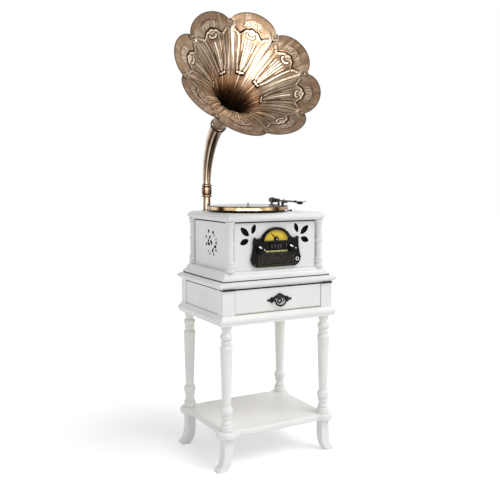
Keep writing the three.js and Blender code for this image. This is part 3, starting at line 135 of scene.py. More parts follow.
# %% World and key
SKY_LIGHT = 0.55
KEY_LIGHT = 1.45  # watts a square metre
KEY_HEIGHT, KEY_ASIDE, KEY_WIDTH = 54, 30, 40  # degrees: above the floor, right of straight ahead, and across
world = bpy.data.worlds.new("studio")
world.use_nodes = True
bpy.context.scene.world = world
sky = world.node_tree
sky.nodes.clear()
ray = add(sky, "LightPath")
seen = add(
    sky, "Math", {0: ray.outputs["Is Camera Ray"], 1: ray.outputs["Is Glossy Ray"]}, operation="MAXIMUM"
)
seen = add(sky, "Math", {0: seen.outputs[0], 1: ray.outputs["Is Transmission Ray"]}, operation="MAXIMUM")
level = add(sky, "MapRange", {"Value": seen.outputs[0], "To Min": SKY_LIGHT, "To Max": 1.0})
shine = add(sky, "Background", {"Color": (1, 1, 1, 1), "Strength": level.outputs["Result"]})
add(sky, "OutputWorld", {"Surface": shine.outputs[0]})


def lamp(name, kind, place, aim, energy):
    """A lamp of one kind at a place, in metres, turned to face a point."""
    light = bpy.data.lights.new(name, kind)
    light.energy = energy
    holder = bpy.data.objects.new(name, light)
    holder.location = place
    holder.rotation_euler = (Vector(aim) - Vector(place)).to_track_quat("-Z", "Y").to_euler()
    bpy.context.scene.collection.objects.link(holder)
    return holder


AIM = (table_x * MM, table_y * MM, 0.75)
rise, swing = math.radians(KEY_HEIGHT), math.radians(KEY_ASIDE)
toward_key = np.array([math.cos(rise) * math.sin(swing), -math.cos(rise) * math.cos(swing), math.sin(rise)])
key = lamp("key", "SUN", np.array(AIM) + 4 * toward_key, AIM, KEY_LIGHT)
key.data.angle = math.radians(KEY_WIDTH)
print("the key shines from", toward_key.round(2))

# %% [markdown]
# Pressed metal needs something bright to reflect, or its ornament goes flat. A broad soft box low in front of
# the horn, as a photographer would set one up for it, puts the cream highlight on its upper petals, and a
# second lifts the left ones. White lacquer would only lose its shading to them, so both are linked to the
# horn's metal alone and left out of the diffuse light.

# %% Highlights on the metal
horn_metal = bpy.data.collections.new("horn metal")


def soft_box(name, azimuth, elevation, distance, size, radiance):
    """An area lamp for the horn's reflections, at angles in degrees round it, of a size and a radiance.
    Its watts are the radiance times pi times its area."""
    turn, tilt = math.radians(azimuth), math.radians(elevation)
    centre = Vector((0, 0.05, 1.25))
    away = Vector((math.sin(turn) * math.cos(tilt), -math.cos(turn) * math.cos(tilt), math.sin(tilt)))
    box = lamp(name, "AREA", centre + distance * away, centre, radiance * math.pi * size[0] * size[1])
    box.data.shape, box.data.size, box.data.size_y = "RECTANGLE", *size
    box.visible_diffuse = box.visible_camera = False
    box.light_linking.receiver_collection = horn_metal


soft_box("horn_box", -26, 4, 3.0, (3.9, 1.8), 8.5)
soft_box("side_box", 95, 30, 3.0, (2.2, 1.6), 0.9)

# %% [markdown]
# The floor is a wide white sheet. It takes the object's shadow as a real one does, and a little of its own
# glow, seen only by the camera and in reflections, lifts it to the white of the backdrop.

# %% Floor
FLOOR_REACH = 12.0  # metres
GLOW = 0.3
floor_mesh = bpy.data.meshes.new("floor")
edge = FLOOR_REACH * np.array([(-1, -1, 0), (1, -1, 0), (1, 1, 0), (-1, 1, 0)])
floor_mesh.from_pydata(edge.tolist(), [], [(0, 1, 2, 3)])
floor = bpy.data.objects.new("floor", floor_mesh)
bpy.context.scene.collection.objects.link(floor)
paper = bpy.data.materials.new("studio paper")
paper.use_nodes = True
tree = paper.node_tree
shader = tree.nodes["Principled BSDF"]
shader.inputs["Base Color"].default_value = colour("#f6f6f6")
shader.inputs["Roughness"].default_value = 1.0
shader.inputs["Specular IOR Level"].default_value = 0.0
ray = add(tree, "LightPath")
seen = add(
    tree, "Math", {0: ray.outputs["Is Camera Ray"], 1: ray.outputs["Is Glossy Ray"]}, operation="MAXIMUM"
)
glow = add(tree, "Math", {0: seen.outputs[0], 1: GLOW}, operation="MULTIPLY")
shader.inputs["Emission Color"].default_value = (1, 1, 1, 1)
tree.links.new(glow.outputs[0], shader.inputs["Emission Strength"])
floor_mesh.materials.append(paper)

# %% [markdown]
# ## Finishes
#
# Each finish starts from what the real one is and how its surface was made. The colours are hex values
# matched to the object, and each pattern's scale comes from a real size in millimetres. A Noise Texture
# repeats about once per unit of its input, and Object coordinates are in metres, so a grain of g
# millimetres has a scale of 1000 / g.

# %% A finish and its surface texture
finishes = {}


def finish(name, base, roughness, metallic=0.0):
    """A new material with its tree and shader, under a maker's name."""
    made = bpy.data.materials.new(name)
    made.use_nodes = True
    shader = made.node_tree.nodes["Principled BSDF"]
    shader.inputs["Base Color"].default_value = colour(base)
    shader.inputs["Roughness"].default_value = roughness
    shader.inputs["Metallic"].default_value = metallic
    finishes[name] = made
    return made.node_tree, shader


def grain(tree, size, detail=3.0, stretch=(1, 1, 1), source=None):
    """A noise whose grains are size millimetres wide, drawn out by stretch along each axis."""
    place = source or add(tree, "TexCoord").outputs["Object"]
    turned_place = add(tree, "Mapping", {"Vector": place, "Scale": stretch})
    return add(
        tree, "TexNoise", {"Vector": turned_place.outputs[0], "Scale": 1 / (size * MM), "Detail": detail}
    )


def between(tree, factor, low, high, start=0.3, stop=0.7):
    """A colour ramp from low to high as the factor goes from start to stop."""
    ramp = add(tree, "ValToRGB", {0: factor})
    ends = ramp.color_ramp.elements
    ends[0].position, ends[1].position = start, stop
    ends[0].color, ends[1].color = colour(low), colour(high)
    return ramp.outputs["Color"]


def tint(tree, shader, factor, *ends):
    """The base colour between two others, by the factor."""
    tree.links.new(between(tree, factor, *ends), shader.inputs["Base Color"])


def vary(tree, factor, low, high):
    """The factor, which is mostly 0.3 to 0.7, spread over low to high."""
    spread = {"Value": factor, "From Min": 0.3, "From Max": 0.7, "To Min": low, "To Max": high}
    return add(tree, "MapRange", spread).outputs["Result"]


def emboss(tree, shader, height, depth, strength=1.0):
    """A bump of a height from 0 to 1 that stands depth millimetres proud."""
    bump = add(tree, "Bump", {"Height": height, "Distance": depth * MM, "Strength": strength})
    tree.links.new(bump.outputs["Normal"], shader.inputs["Normal"])


# %% [markdown]
# White lacquer: a nitrocellulose or acrylic lacquer, sprayed in several coats over primed wood and rubbed
# to a satin. The eye gets a cool white with a soft highlight, a faint cloudiness where the coats differ,
# and an orange peel about 2 mm wide. The peel is drawn a little coarser than life, so that it shows at all.

# %% White lacquer
tree, shader = finish("sprayed_lacquer", "#f0f0ef", 0.38)
clouds = grain(tree, 90, 2.0)
tint(tree, shader, clouds.outputs["Fac"], "#ecedec", "#f3f3f1")
peel = grain(tree, 2.2, 1.0)
emboss(tree, shader, peel.outputs["Fac"], 0.05)
tree.links.new(vary(tree, clouds.outputs["Fac"], 0.33, 0.44), shader.inputs["Roughness"])

# %% [markdown]
# Antiqued bronze: sheet brass, pressed in a die, darkened in a bath and then rubbed back by hand, so that
# the recesses keep the brown and the raised lines come out bright. Each piece's mesh carries a tone as an
# attribute, from 0 dark to 1 bright, and the colour follows that: on the bell that patina together with
# painted highlights and painted shade along the ornament and deep in the throat, on the tubes painted
# reflections, and on the collar's facets painted shading. The strokes are marks of rubbing about 9 mm wide
# and many times as long, read from a second attribute that runs along the horn.

# %% Antiqued bronze
def bronze(name, low, mid, high, roughness, contrast):
    """Dark, middle and bright tones by the attribute of patina and painted light, with strokes along the
    piece."""
    tree, shader = finish(name, mid, roughness[0], 1.0)
    # The attribute holds the rubbed patina together with painted highlights, shade and reflections.
    patina_and_painted_light = add(tree, "Attribute", attribute_name="patina_and_painted_light").outputs["Fac"]
    along = add(tree, "Attribute", attribute_name="strokes").outputs["Vector"]
    strokes = grain(tree, 9, 3.0, source=along)
    patches = grain(tree, 34, 3.0)
    streaked = add(
        tree, "Math", {0: patina_and_painted_light, 1: vary(tree, strokes.outputs["Fac"], -contrast, contrast)},
        operation="ADD"
    )
    clouded = vary(tree, patches.outputs["Fac"], -0.05, 0.05)
    level = add(tree, "Math", {0: streaked.outputs[0], 1: clouded}, operation="ADD")
    ramp = add(tree, "ValToRGB", {0: level.outputs[0]})
    stops = ramp.color_ramp.elements
    stops[0].position, stops[1].position = 0.06, 0.95
    stops[0].color, stops[1].color = colour(low), colour(high)
    stops.new(0.47).color = colour(mid)
    tree.links.new(ramp.outputs["Color"], shader.inputs["Base Color"])
    tree.links.new(vary(tree, strokes.outputs["Fac"], *roughness), shader.inputs["Roughness"])
    emboss(tree, shader, grain(tree, 1.1, 2.0).outputs["Fac"], 0.04)


bronze("antiqued_bronze", "#1c1109", "#806853", "#f4ead6", (0.24, 0.36), 0.05)
bronze("rubbed_bronze_tube", "#1c110a", "#7d6450", "#f0e2ca", (0.16, 0.26), 0.16)

# %% [markdown]
# Gilt rim: turned aluminium, anodised to a pale gold and polished. The tool leaves fine rings all round,
# here as a bump that follows the height above the floor, and they draw a highlight out along the rim.
# Patches about 45 mm long go from a deep brown to a pale gold along the rim: painted reflections of dark
# and bright surroundings.

# %% Gilt rim
tree, shader = finish("gold_anodised_rim", "#c9a06a", 0.16, 1.0)
height = add(tree, "SeparateXYZ", {0: add(tree, "TexCoord").outputs["Object"]}).outputs["Z"]
rings = add(tree, "Math", {0: height, 1: TURN / (0.9 * MM)}, operation="MULTIPLY")
rings = add(tree, "Math", {0: rings.outputs[0]}, operation="SINE")
emboss(tree, shader, rings.outputs[0], 0.01)
# Painted reflections: patches from deep brown to pale gold along the rim.
painted_reflection_patches = grain(tree, 45, 1.0, (1, 1, 0.2))
tint(tree, shader, painted_reflection_patches.outputs["Fac"], "#4a3018", "#e9cfa2", 0.36, 0.62)

# %% [markdown]
# The black parts differ more in their shine than in their colour. Moulded ABS has a fine spark texture and
# a broad sheen, the drawer pull is cast iron under a black varnish that pools in its hollows, rubber is
# dull and a little dusty, and the arm is anodised aluminium.

# %% Black parts
def black(name, base, worn, roughness, texture, depth, metallic=0.0, specular=0.22):
    """A dark finish with patches of a second tone and a surface texture of one grain size. All round white
    paper, a specular level of 0.5 turns black plastic grey, so it is set lower, as dust and grease do."""
    tree, shader = finish(name, base, roughness, metallic)
    shader.inputs["Specular IOR Level"].default_value = specular
    patches = grain(tree, 14, 4.0)
    tint(tree, shader, patches.outputs["Fac"], base, worn, 0.4, 0.8)
    spread = vary(tree, patches.outputs["Fac"], roughness * 0.85, min(1.0, roughness * 1.2))
    tree.links.new(spread, shader.inputs["Roughness"])
    emboss(tree, shader, grain(tree, texture, 2.0).outputs["Fac"], depth)


black("moulded_black_abs", "#0d0b0a", "#17130f", 0.42, 0.7, 0.05, specular=0.14)
black("polished_black_abs", "#090807", "#120f0c", 0.2, 3.0, 0.02)
black("varnished_iron", "#0c0a09", "#191512", 0.36, 1.6, 0.12)
black("platter_rubber", "#0b0a0a", "#151413", 0.1, 9.0, 0.003, specular=0.5)
black("black_anodised_arm", "#0c0c0c", "#141312", 0.27, 0.6, 0.02)
black("grained_black_abs", "#14110e", "#3d352d", 0.5, 2.2, 0.3)
black("ribbed_olive_abs", "#45432c", "#615d40", 0.5, 0.8, 0.05)
black("moulded_grey_abs", "#4f4b48", "#625d58", 0.4, 0.7, 0.03)
black("drive_rubber", "#1b1a19", "#2b2927", 0.6, 0.6, 0.02)
# A black that paints shade: in the walls of the sawn holes and in the strips under the lid, the plinth and
# the tabletop.
black("painted_shade_black", "#14110e", "#241d17", 0.8, 1.2, 0.1)

# %% [markdown]
# Bright metals: chrome plate on the small trims, ground steel for the spindle, the motor and the pulley.

# %% Bright metals
tree, shader = finish("chrome_plate", "#d9dadb", 0.09, 1.0)
emboss(tree, shader, grain(tree, 4, 1.0).outputs["Fac"], 0.01)
tree, shader = finish("ground_steel", "#b8babc", 0.28, 1.0)
lines = grain(tree, 0.8, 2.0, (1, 1, 12))
emboss(tree, shader, lines.outputs["Fac"], 0.02)
tree.links.new(vary(tree, lines.outputs["Fac"], 0.22, 0.36), shader.inputs["Roughness"])

# %% [markdown]
# The dial is a printed card, deep yellow, a little lighter in patches about 9 mm wide where a lamp has
# bleached it. Bare wood in the drawer is planed poplar: long pale grain along its boards. Speaker cloth is a
# plain black weave of 1.2 mm threads, and the circuit board is green solder mask over copper tracks.

# %% Dial, wood, cloth and board
tree, shader = finish("dial_card", "#cfae2a", 0.42)
bleached = grain(tree, 9, 2.0)
tint(tree, shader, bleached.outputs["Fac"], "#d9ac14", "#f4d84a")
emboss(tree, shader, grain(tree, 0.6, 1.0).outputs["Fac"], 0.02)

tree, shader = finish("dial_print", "#2b2412", 0.5)
tint(tree, shader, grain(tree, 1.5).outputs["Fac"], "#231d0f", "#3a3018")

tree, shader = finish("strip_print", "#8d8a4a", 0.5)
tint(tree, shader, grain(tree, 2.5).outputs["Fac"], "#55552c", "#d0cc7a", 0.36, 0.56)

tree, shader = finish("planed_poplar", "#cdb287", 0.6)
fibre = grain(tree, 3.5, 5.0, (1, 0.05, 1))
tint(tree, shader, fibre.outputs["Fac"], "#b8986a", "#dcc6a0")
emboss(tree, shader, fibre.outputs["Fac"], 0.08)

tree, shader = finish("speaker_cloth", "#15130f", 0.9)
weave = add(tree, "TexCoord").outputs["Object"]
warp = add(tree, "TexWave", {"Vector": weave, "Scale": 1 / (1.2 * MM) / 3.2}, bands_direction="X")
weft = add(tree, "TexWave", {"Vector": weave, "Scale": 1 / (1.2 * MM) / 3.2}, bands_direction="Z")
threads = add(tree, "Math", {0: warp.outputs["Fac"], 1: weft.outputs["Fac"]}, operation="MULTIPLY")
tint(tree, shader, threads.outputs[0], "#0c0b09", "#2a2722")
emboss(tree, shader, threads.outputs[0], 0.2)

tree, shader = finish("pressed_paper_cone", "#22201d", 0.85)
tint(tree, shader, grain(tree, 3.0).outputs["Fac"], "#1c1a18", "#302d29")
emboss(tree, shader, grain(tree, 1.0).outputs["Fac"], 0.15)

tree, shader = finish("solder_mask", "#1f4a30", 0.4)
tracks = add(tree, "TexVoronoi", {"Vector": add(tree, "TexCoord").outputs["Object"], "Scale": 1 / (7 * MM)})
tint(tree, shader, tracks.outputs["Distance"], "#173c26", "#2f6a45")
print(len(finishes), "finishes:", ", ".join(finishes))

# %% [markdown]
# ## Surfaces from arrays
#
# Every new piece is worked out as a grid of points: rows one way and columns the other. One function joins a
# grid's points by quads, and one puts the points and faces into a mesh. Points are kept in millimetres until
# then.

# %% Grids and meshes
def quads(rows, columns, close_rows=False, close_columns=True):
    """Faces of a grid: each joins a point to the next column, and both to the next row.
    Closing wraps the last row or column round to the first."""
    index = np.arange(rows * columns).reshape(rows, columns)
    if close_rows:
        index = np.vstack([index, index[:1]])
    if close_columns:
        index = np.hstack([index, index[:, :1]])
    corners = [index[:-1, :-1], index[:-1, 1:], index[1:, 1:], index[1:, :-1]]
    return np.stack(corners, -1).reshape(-1, 4)


def capped(points, first=True, last=True, close_rows=False):
    """A grid of rows, columns and x, y, z as points and faces, with its first and last row filled."""
    rows, columns = points.shape[:2]
    faces = [quads(rows, columns, close_rows)]
    if first:
        faces.append(np.arange(columns)[None, ::-1])
    if last:
        faces.append(np.arange((rows - 1) * columns, rows * columns)[None])
    return points.reshape(-1, 3), faces


BODY = "cabinet_and_table"
WHITE = (BODY, "white_lacquer", "sprayed_lacquer")


def dress(made, body, look, stands_for):
    """Gives a finished object its material and its body, and hides the nodes that it stands for."""
    made.data.materials.append(finishes[look])
    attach(made, body)
    if stands_for:
        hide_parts(*stands_for)
    return made


def mesh_from(name, parts, crease=32):
    """A mesh of several closed parts side by side, smooth except where faces meet at more than crease
    degrees."""
    starts = np.cumsum([0] + [len(points) for points, _ in parts])
    faces = [face + start for (_, part), start in zip(parts, starts) for face in part]
    sizes = np.concatenate([np.full(len(face), face.shape[1]) for face in faces])
    loops = np.concatenate([face.ravel() for face in faces])
    mesh = bpy.data.meshes.new(name)
    mesh.vertices.add(starts[-1])
    mesh.vertices.foreach_set("co", np.concatenate([points for points, _ in parts]).ravel() * MM)
    mesh.loops.add(len(loops))
    mesh.loops.foreach_set("vertex_index", loops)
    mesh.polygons.add(len(sizes))
    mesh.polygons.foreach_set("loop_start", np.cumsum(sizes) - sizes)
    mesh.update(calc_edges=True)
    mesh.validate()
    mesh.shade_smooth()
    mesh.set_sharp_from_angle(angle=math.radians(crease))
    return mesh


def make(name, parts, body, slot, look, stands_for=(), crease=32, flat_faces=True, inlay=()):
    """One finished piece from its parts, each an array of points in millimetres and its faces. An inlay is a
    second finish and the parts that take it."""
    second, more = inlay or (None, [])
    made = bpy.data.objects.new(name, mesh_from(name, parts + more, crease))
    bpy.context.scene.collection.objects.link(made)
    if second:
        own = sum(len(face) for _, part in parts for face in part)
        index = np.arange(len(made.data.polygons)) >= own
        made.data.polygons.foreach_set("material_index", index.astype(np.int32))
    if flat_faces:
        weighted = made.modifiers.new("even shading", "WEIGHTED_NORMAL")
        weighted.keep_sharp = True
    dress(made, body, look, stands_for)
    if second:
        made.data.materials.append(finishes[second])
    return made


def at(parts, place):
    """The same parts, moved by a place."""
    return [(points + np.asarray(place, float), faces) for points, faces in parts]


# %% [markdown]
# Profiles come first, since most of this furniture is turned or moulded. A turner thinks in beads, coves and
# straight runs between two points, and one function draws them that way.

# %% Profiles
def trace(start, *runs, steps=9):
    """A profile as an array of points: each run is an end point and how far it swells between. A straight
    run swells by 0. Any other is half an ellipse on its chord, out for a bead and in for a cove."""
    points = [np.array([start], float)]
    for *end, swell in runs:
        begin = points[-1][-1]
        if not swell:
            points.append(np.array([end], float))
            continue
        angle = np.linspace(0, math.pi, steps + 1)[1:, None]
        share = (1 - np.cos(angle)) / 2
        bulge = np.hstack([swell * np.sin(angle), 0 * angle])
        points.append(begin + (np.array(end) - begin) * share + bulge)
    return np.vstack(points)


def turned(profile, sides=64):
    """A profile of radius and height, from the bottom up, carried round the Z axis:
    radius times the cosine and the sine of the angle, and the height. A profile whose ends lie on the axis is
    closed by a small face there, and any other is closed on itself."""
    profile = np.asarray(profile, float)
    around = np.linspace(0, TURN, sides, endpoint=False)
    open_ends = profile[0, 0] == 0
    rings = profile[1:-1] if open_ends else profile
    radius, height = rings.T[..., None]
    points = np.stack(
        [radius * np.cos(around), radius * np.sin(around), np.broadcast_to(height, (len(rings), sides))], -1
    )
    return [capped(points, open_ends, open_ends, not open_ends)]


def upright(parts, place):
    """Parts drawn as seen from the front, with their height towards the viewer: x, y, z become x, -z, y."""
    swap = np.array([(1, 0, 0), (0, 0, 1), (0, -1, 0)])
    return [(points @ swap + np.asarray(place, float), faces) for points, faces in parts]


def rounded_rectangle(half_x, half_y, corner=1.0, steps=4):
    """A rectangle's outline, counter-clockwise, with each corner an arc of that radius.
    The halves may be arrays, one for each row of a moulded board."""
    quarter = np.linspace(0, math.pi / 2, steps)
    angle = (quarter + np.arange(4)[:, None] * math.pi / 2).ravel()
    sign_x = np.repeat([1, -1, -1, 1], steps)
    sign_y = np.repeat([1, 1, -1, -1], steps)
    half_x, half_y = np.asarray(half_x, float)[..., None], np.asarray(half_y, float)[..., None]
    x = sign_x * (half_x - corner) + corner * np.cos(angle)
    y = sign_y * (half_y - corner) + corner * np.sin(angle)
    return np.stack([x, y], -1)


def moulded_board(half_x, half_y, profile, corner=1.0):
    """A board with a mitred moulding: each profile point is an inset and a height, and gives one row,
    a rounded rectangle whose sides lie that far inside the board's own."""
    inset, height = np.asarray(profile, float).T
    plan = rounded_rectangle(half_x - inset, half_y - inset, corner)
    rows = np.broadcast_to(height[:, None, None], (*plan.shape[:2], 1))
    return [capped(np.concatenate([plan, rows], -1))]


def moved_in(outline, inset):
    """A closed line, counter-clockwise, moved in by the inset along its own normals: those are square to the
    chord from the point before to the point after."""
    run = np.roll(outline, -1, 0) - np.roll(outline, 1, 0)
    normal = np.stack([run[:, 1], -run[:, 0]], -1) / np.linalg.norm(run, axis=1, keepdims=True)
    return outline - inset * normal


def shaped_board(outline, profile):
    """A board of any outline: each row is the outline moved in by the profile's inset, at its height."""
    inset, height = np.asarray(profile, float).T[..., None, None]
    plan = moved_in(outline, inset)
    rows = np.broadcast_to(height, (*plan.shape[:2], 1))
    return [capped(np.concatenate([plan, rows], -1))]


def soft_edge(thick, roll, steps=5):
    """Insets and heights of a board's edge with both arrises rounded by quarter circles."""
    angle = np.linspace(0, math.pi / 2, steps)
    low = np.stack([roll * (1 - np.sin(angle)), roll * (1 - np.cos(angle))], -1)
    return np.vstack([low, [0, thick] + (low * [1, -1])[::-1]])


def box_part(width, depth, height, roll=0.6, place=(0, 0, 0)):
    """A block with softened edges, its lower face's middle at the place."""
    return at(moulded_board(width / 2, depth / 2, soft_edge(height, roll, 3), max(roll, 0.2)), place)


def tube(path, radius, sides=16, up=(0, 0, 1), close=False, squeeze=(1, 1)):
    """A round section carried along a path: at each point the section stands square to the path's direction,
    at radius times the cosine across and the sine up, each squeezed by a share."""
    path = np.asarray(path, float)
    run = np.roll(path, -1, 0) - np.roll(path, 1, 0) if close else np.gradient(path, axis=0)
    run /= np.linalg.norm(run, axis=1, keepdims=True)
    across = np.cross(run, np.asarray(up, float))
    across /= np.linalg.norm(across, axis=1, keepdims=True)
    rise = np.cross(across, run)
    around = np.linspace(0, TURN, sides, endpoint=False)[None, :, None]
    reach = np.broadcast_to(np.asarray(radius, float), len(path))[:, None, None]
    ring = reach * (
        squeeze[0] * np.cos(around) * across[:, None] + squeeze[1] * np.sin(around) * rise[:, None]
    )
    points = path[:, None] + ring
    return [capped(points[::-1], not close, not close, close)]


def curve_through(points, steps=12, close=False):
    """A smooth line through a few points, by the Catmull-Rom cubic between each two of them."""
    points = np.asarray(points, float)
    first, last = (points[-1:], points[:2]) if close else (points[:1], points[-1:])
    padded = np.vstack([first, points, last])
    before, begin, end, after = padded[:-3], padded[1:-2], padded[2:-1], padded[3:]
    share = np.linspace(0, 1, steps, endpoint=False)[None, :, None]
    before, begin, end, after = (each[:, None] for each in (before, begin, end, after))
    line = 0.5 * (
        2 * begin + (end - before) * share + (
            2 * before - 5 * begin + 4 * end - after
        ) * share**2 + (3 * begin - before - 3 * end + after) * share**3
    )
    line = line.reshape(-1, points.shape[1])
    return line if close else np.vstack([line, points[-1:]])

# %% [markdown]
# ## The table
#
# The shelf is a board sawn to a curve: straight sides, with a round lobe under each leg, and an edge rounded
# over with a router. Its outline is drawn for one corner and mirrored to the others, so the four stay alike.

# %% Shelf
low, high = span("shelf")
leg_reach = (span("leg_front_right")[0] + span("leg_front_right")[1]) / 2 - middle
leg_x, leg_y = abs(leg_reach[0]), abs(leg_reach[1])
SHELF_EDGE = (14, 20)  # how far the straight sides lie outside the legs' middles
LOBE, RUN, ROLL = 34, 60, 7  # radius of a lobe, length of the curve into it, and the rounded edge


def shelf_outline():
    """For one corner a curve from the long side into an arc of the lobe, and from it to the short side;
    then the same mirrored in x, in both and in y, counter-clockwise."""
    arc = np.linspace(-0.28, 0.78, 22)[:, None] * math.pi
    lobe = np.hstack([leg_x + LOBE * np.cos(arc), leg_y + LOBE * np.sin(arc)])

    def ease(start, pull, stop):
        """A parabola from start to stop, drawn towards pull."""
        share = np.linspace(0, 1, 8)[:, None]
        start, pull, stop = np.array(start), np.array(pull), np.array(stop)
        return (1 - share) ** 2 * start + 2 * share * (1 - share) * pull + share**2 * stop

    lean = 0.4 * LOBE
    short = ease((leg_x + SHELF_EDGE[0], leg_y - RUN), lobe[0] - (0.75 * lean, lean), lobe[0])
    long = ease(lobe[-1], lobe[-1] - (lean, 0.75 * lean), (leg_x - RUN, leg_y + SHELF_EDGE[1]))
    corner = np.vstack([short[:-1], lobe, long[1:]])
    mirrored = [corner, (corner * [-1, 1])[::-1], corner * [-1, -1], (corner * [1, -1])[::-1]]
    return np.vstack(mirrored)


shelf = shaped_board(shelf_outline(), soft_edge(high[2] - low[2], ROLL, 7))
make("shelf_board", at(shelf, (table_x, table_y, low[2])), *WHITE, ["shelf"])

# %% [markdown]
# The legs were turned on a lathe, with the square block at the top left as sawn and fluted by a cutter. The
# turned part is a profile of beads and coves carried round. The block is a plan outline drawn up in height,
# with three channels on each outer face that run out in a curve at both ends, as a round cutter leaves them.

# %% Legs
case_bottom = span("case_moulding")[0][2]
case_top = span("leg_front_right")[1][2]
moulding_top = span("case_moulding")[1][2]
BLOCK = (43, 36)
FLUTE_HALF, FLUTE_DEEP, FLUTE_PITCH, FLUTE_END = 3.8, 3.4, 11, 9


def leg_profile(height):
    """Radii in millimetres and shares of the turned height: foot ring, beads, cushion, long taper,
    collar, bead, upper cushion and neck."""
    shares = trace(
        (0, 0), (19.9, 0, 0), (20.5, 0.003, 0), (20.5, 0.05, 0), (16.2, 0.06, 1), (15, 0.0625, 0),
        (15, 0.088, 2.5), (15, 0.118, -0.7), (15, 0.150, 2.4), (15.3, 0.152, 0), (14.2, 0.229, 6.0),
        (13.9, 0.233, 0), (20.1, 0.764, 0.5), (20.4, 0.767, 0), (17, 0.806, 1.9), (15, 0.81, 0),
        (15, 0.863, 2.6), (15.2, 0.865, 0), (14.4, 0.921, 5.8), (15.2, 0.955, -0.6), (17.4, 0.975, 0.6),
        (17.6, 1, 0), (0, 1, 0),
    )
    return shares * (1, height)


def fluted_block(sign_x, sign_y, bottom, top):
    """A rectangle in plan drawn up in height. On the two outer faces the surface is sunk by a round channel,
    1 minus the square of the distance from its middle, times a share that fades at both ends."""
    half_x, half_y = BLOCK[0] / 2, BLOCK[1] / 2
    side = np.linspace(-1, 1, 61)
    height = np.unique(
        np.concatenate(
            [np.linspace(bottom, top, 26), bottom + np.linspace(0, 30, 21), top - np.linspace(0, 30, 21)]
        )
    )
    start, stop = moulding_top + FLUTE_END / 2, top - FLUTE_END / 2
    inside = np.clip(np.minimum(height - start, stop - height) / FLUTE_END, 0, 1)
    fade = np.sqrt(1 - (1 - inside) ** 2)[:, None]

    def channels(half, pitch):
        """Depth of three rounded channels a pitch apart, side by side across a block."""
        place = side * half
        depth = sum(np.clip(1 - ((place - step * pitch) / FLUTE_HALF) ** 2, 0, 1) for step in (-1, 0, 1))
        return FLUTE_DEEP * depth * fade

    rows = []
    ones = np.ones((len(height), 1))
    deep_x = channels(half_y, FLUTE_PITCH * BLOCK[1] / BLOCK[0])
    deep_y = channels(half_x, FLUTE_PITCH)
    faces = (
        ((1, 0), sign_x > 0, deep_x), ((0, 1), sign_y > 0, deep_y), ((-1, 0), sign_x < 0, deep_x),
        ((0, -1), sign_y < 0, deep_y)
    )
    for (nx, ny), fluted, deep in faces:
        sunk = deep if fluted else 0 * deep
        if nx:
            x, y = nx * (half_x - sunk), nx * side * half_y * ones
        else:
            x, y = -ny * side * half_x * ones, ny * (half_y - sunk)
        rows.append(np.stack([x, y, height[:, None] * np.ones_like(x)], -1)[:, :-1])
    return [capped(np.concatenate(rows, 1))]


for end, sign_y in (("front", -1), ("back", 1)):
    for side, sign_x in (("left", -1), ("right", 1)):
        node = f"leg_{end}_{side}"
        low, high = span(node)
        place = (low + high) / 2
        shaft = turned(leg_profile(case_bottom - low[2]), 56)
        block = fluted_block(sign_x, sign_y, case_bottom - low[2], case_top - low[2])
        parts = at(shaft + block, (place[0], place[1], low[2]))
        make(f"turned_{node}", parts, *WHITE, [node], 40)

# %% [markdown]
# The feet are sabre feet, sawn from a plank and sanded round at the arrises. The foot is a section carried
# down a curve: each row is a rectangle with soft corners, whose middle and width come from the sawn outline's
# inner and outer line, so the toe sweeps out sideways and ends in a small upturned tip.

# %% Feet
FOOT_DEEP = 34


def sabre_foot(height, sign_x):
    """Rows between the inner and the outer line of the sawn outline, both Catmull-Rom curves from the top
    down to the toe. Each row is a rounded rectangle that spans from one line to the other."""
    inner = curve_through([(-16, height), (-16, 84), (-16, 62), (-13.5, 36), (-6, 15), (9, 0)], 6)
    outer = curve_through([(16, height), (16, 84), (16.3, 62), (19, 38), (26, 18), (38, 7)], 6)
    tip = np.array([[9, 0], [20, 0]]), np.array([[38, 7], [35.5, 0.6]])
    inner, outer = np.vstack([inner[:-1], tip[0]]), np.vstack([outer[:-1], tip[1]])
    angle = np.linspace(0, TURN, 32, endpoint=False)
    power = 0.2  # a superellipse this square has arrises rounded by about 4 mm
    across = np.sign(np.cos(angle)) * abs(np.cos(angle)) ** power
    along = np.sign(np.sin(angle)) * abs(np.sin(angle)) ** power
    centre, half = (inner + outer) / 2, (outer - inner) / 2
    x = centre[:, :1] + half[:, :1] * across
    z = centre[:, 1:] + half[:, 1:] * across
    y = FOOT_DEEP / 2 * along * np.ones_like(x)
    points = np.stack([sign_x * x, y, z], -1)
    return [capped(points if sign_x < 0 else points[:, ::-1])]


for end in ("front", "back"):
    for side, sign_x in (("left", -1), ("right", 1)):
        node = f"foot_{end}_{side}"
        low, high = span(node)
        leg_low, leg_high = span(f"leg_{end}_{side}")
        place = ((leg_low + leg_high) / 2)[:2]
        foot = at(sabre_foot(high[2] - low[2], sign_x), (*place, low[2]))
        make(f"sabre_{node}", foot, *WHITE, [node], 50)

# %% [markdown]
# Three boards with mitred mouldings are stacked above the legs: the tabletop, the cabinet's plinth and,
# further up, the lid. A moulding is one profile of insets and heights, cut along all four sides, so one
# function makes all of them. The case moulding is a frame of the same kind with an open middle.

# %% Mouldings of the table
def floor_of(low, high):
    """The middle of a box's lower face."""
    return (*((low + high) / 2)[:2], low[2])


def edge_board(node, depth, corner, start, *runs):
    """A board in a node's place with a moulded edge. The profile's insets are shares of the moulding's depth,
    and its heights shares of the board's."""
    low, high = span(node)
    half, thick = (high - low) / 2, high[2] - low[2]
    scaled = [(x * depth, z * thick, swell) for x, z, swell in runs]
    profile = trace((start * depth, 0), *scaled)
    profile[:, 0] = np.clip(profile[:, 0], 0, None)
    board = moulded_board(half[0], half[1], profile, corner)
    make(f"{node}_board", at(board, floor_of(low, high)), *WHITE, [node])


edge_board(
    "tabletop", 12, 1.6, 1, (0.85, 0.12, 0), (0.2, 0.36, -1.5), (0.1, 0.42, 0), (0.05, 0.74, -1.0),
    (0.3, 0.78, 0), (0.85, 1, -1.6)
)

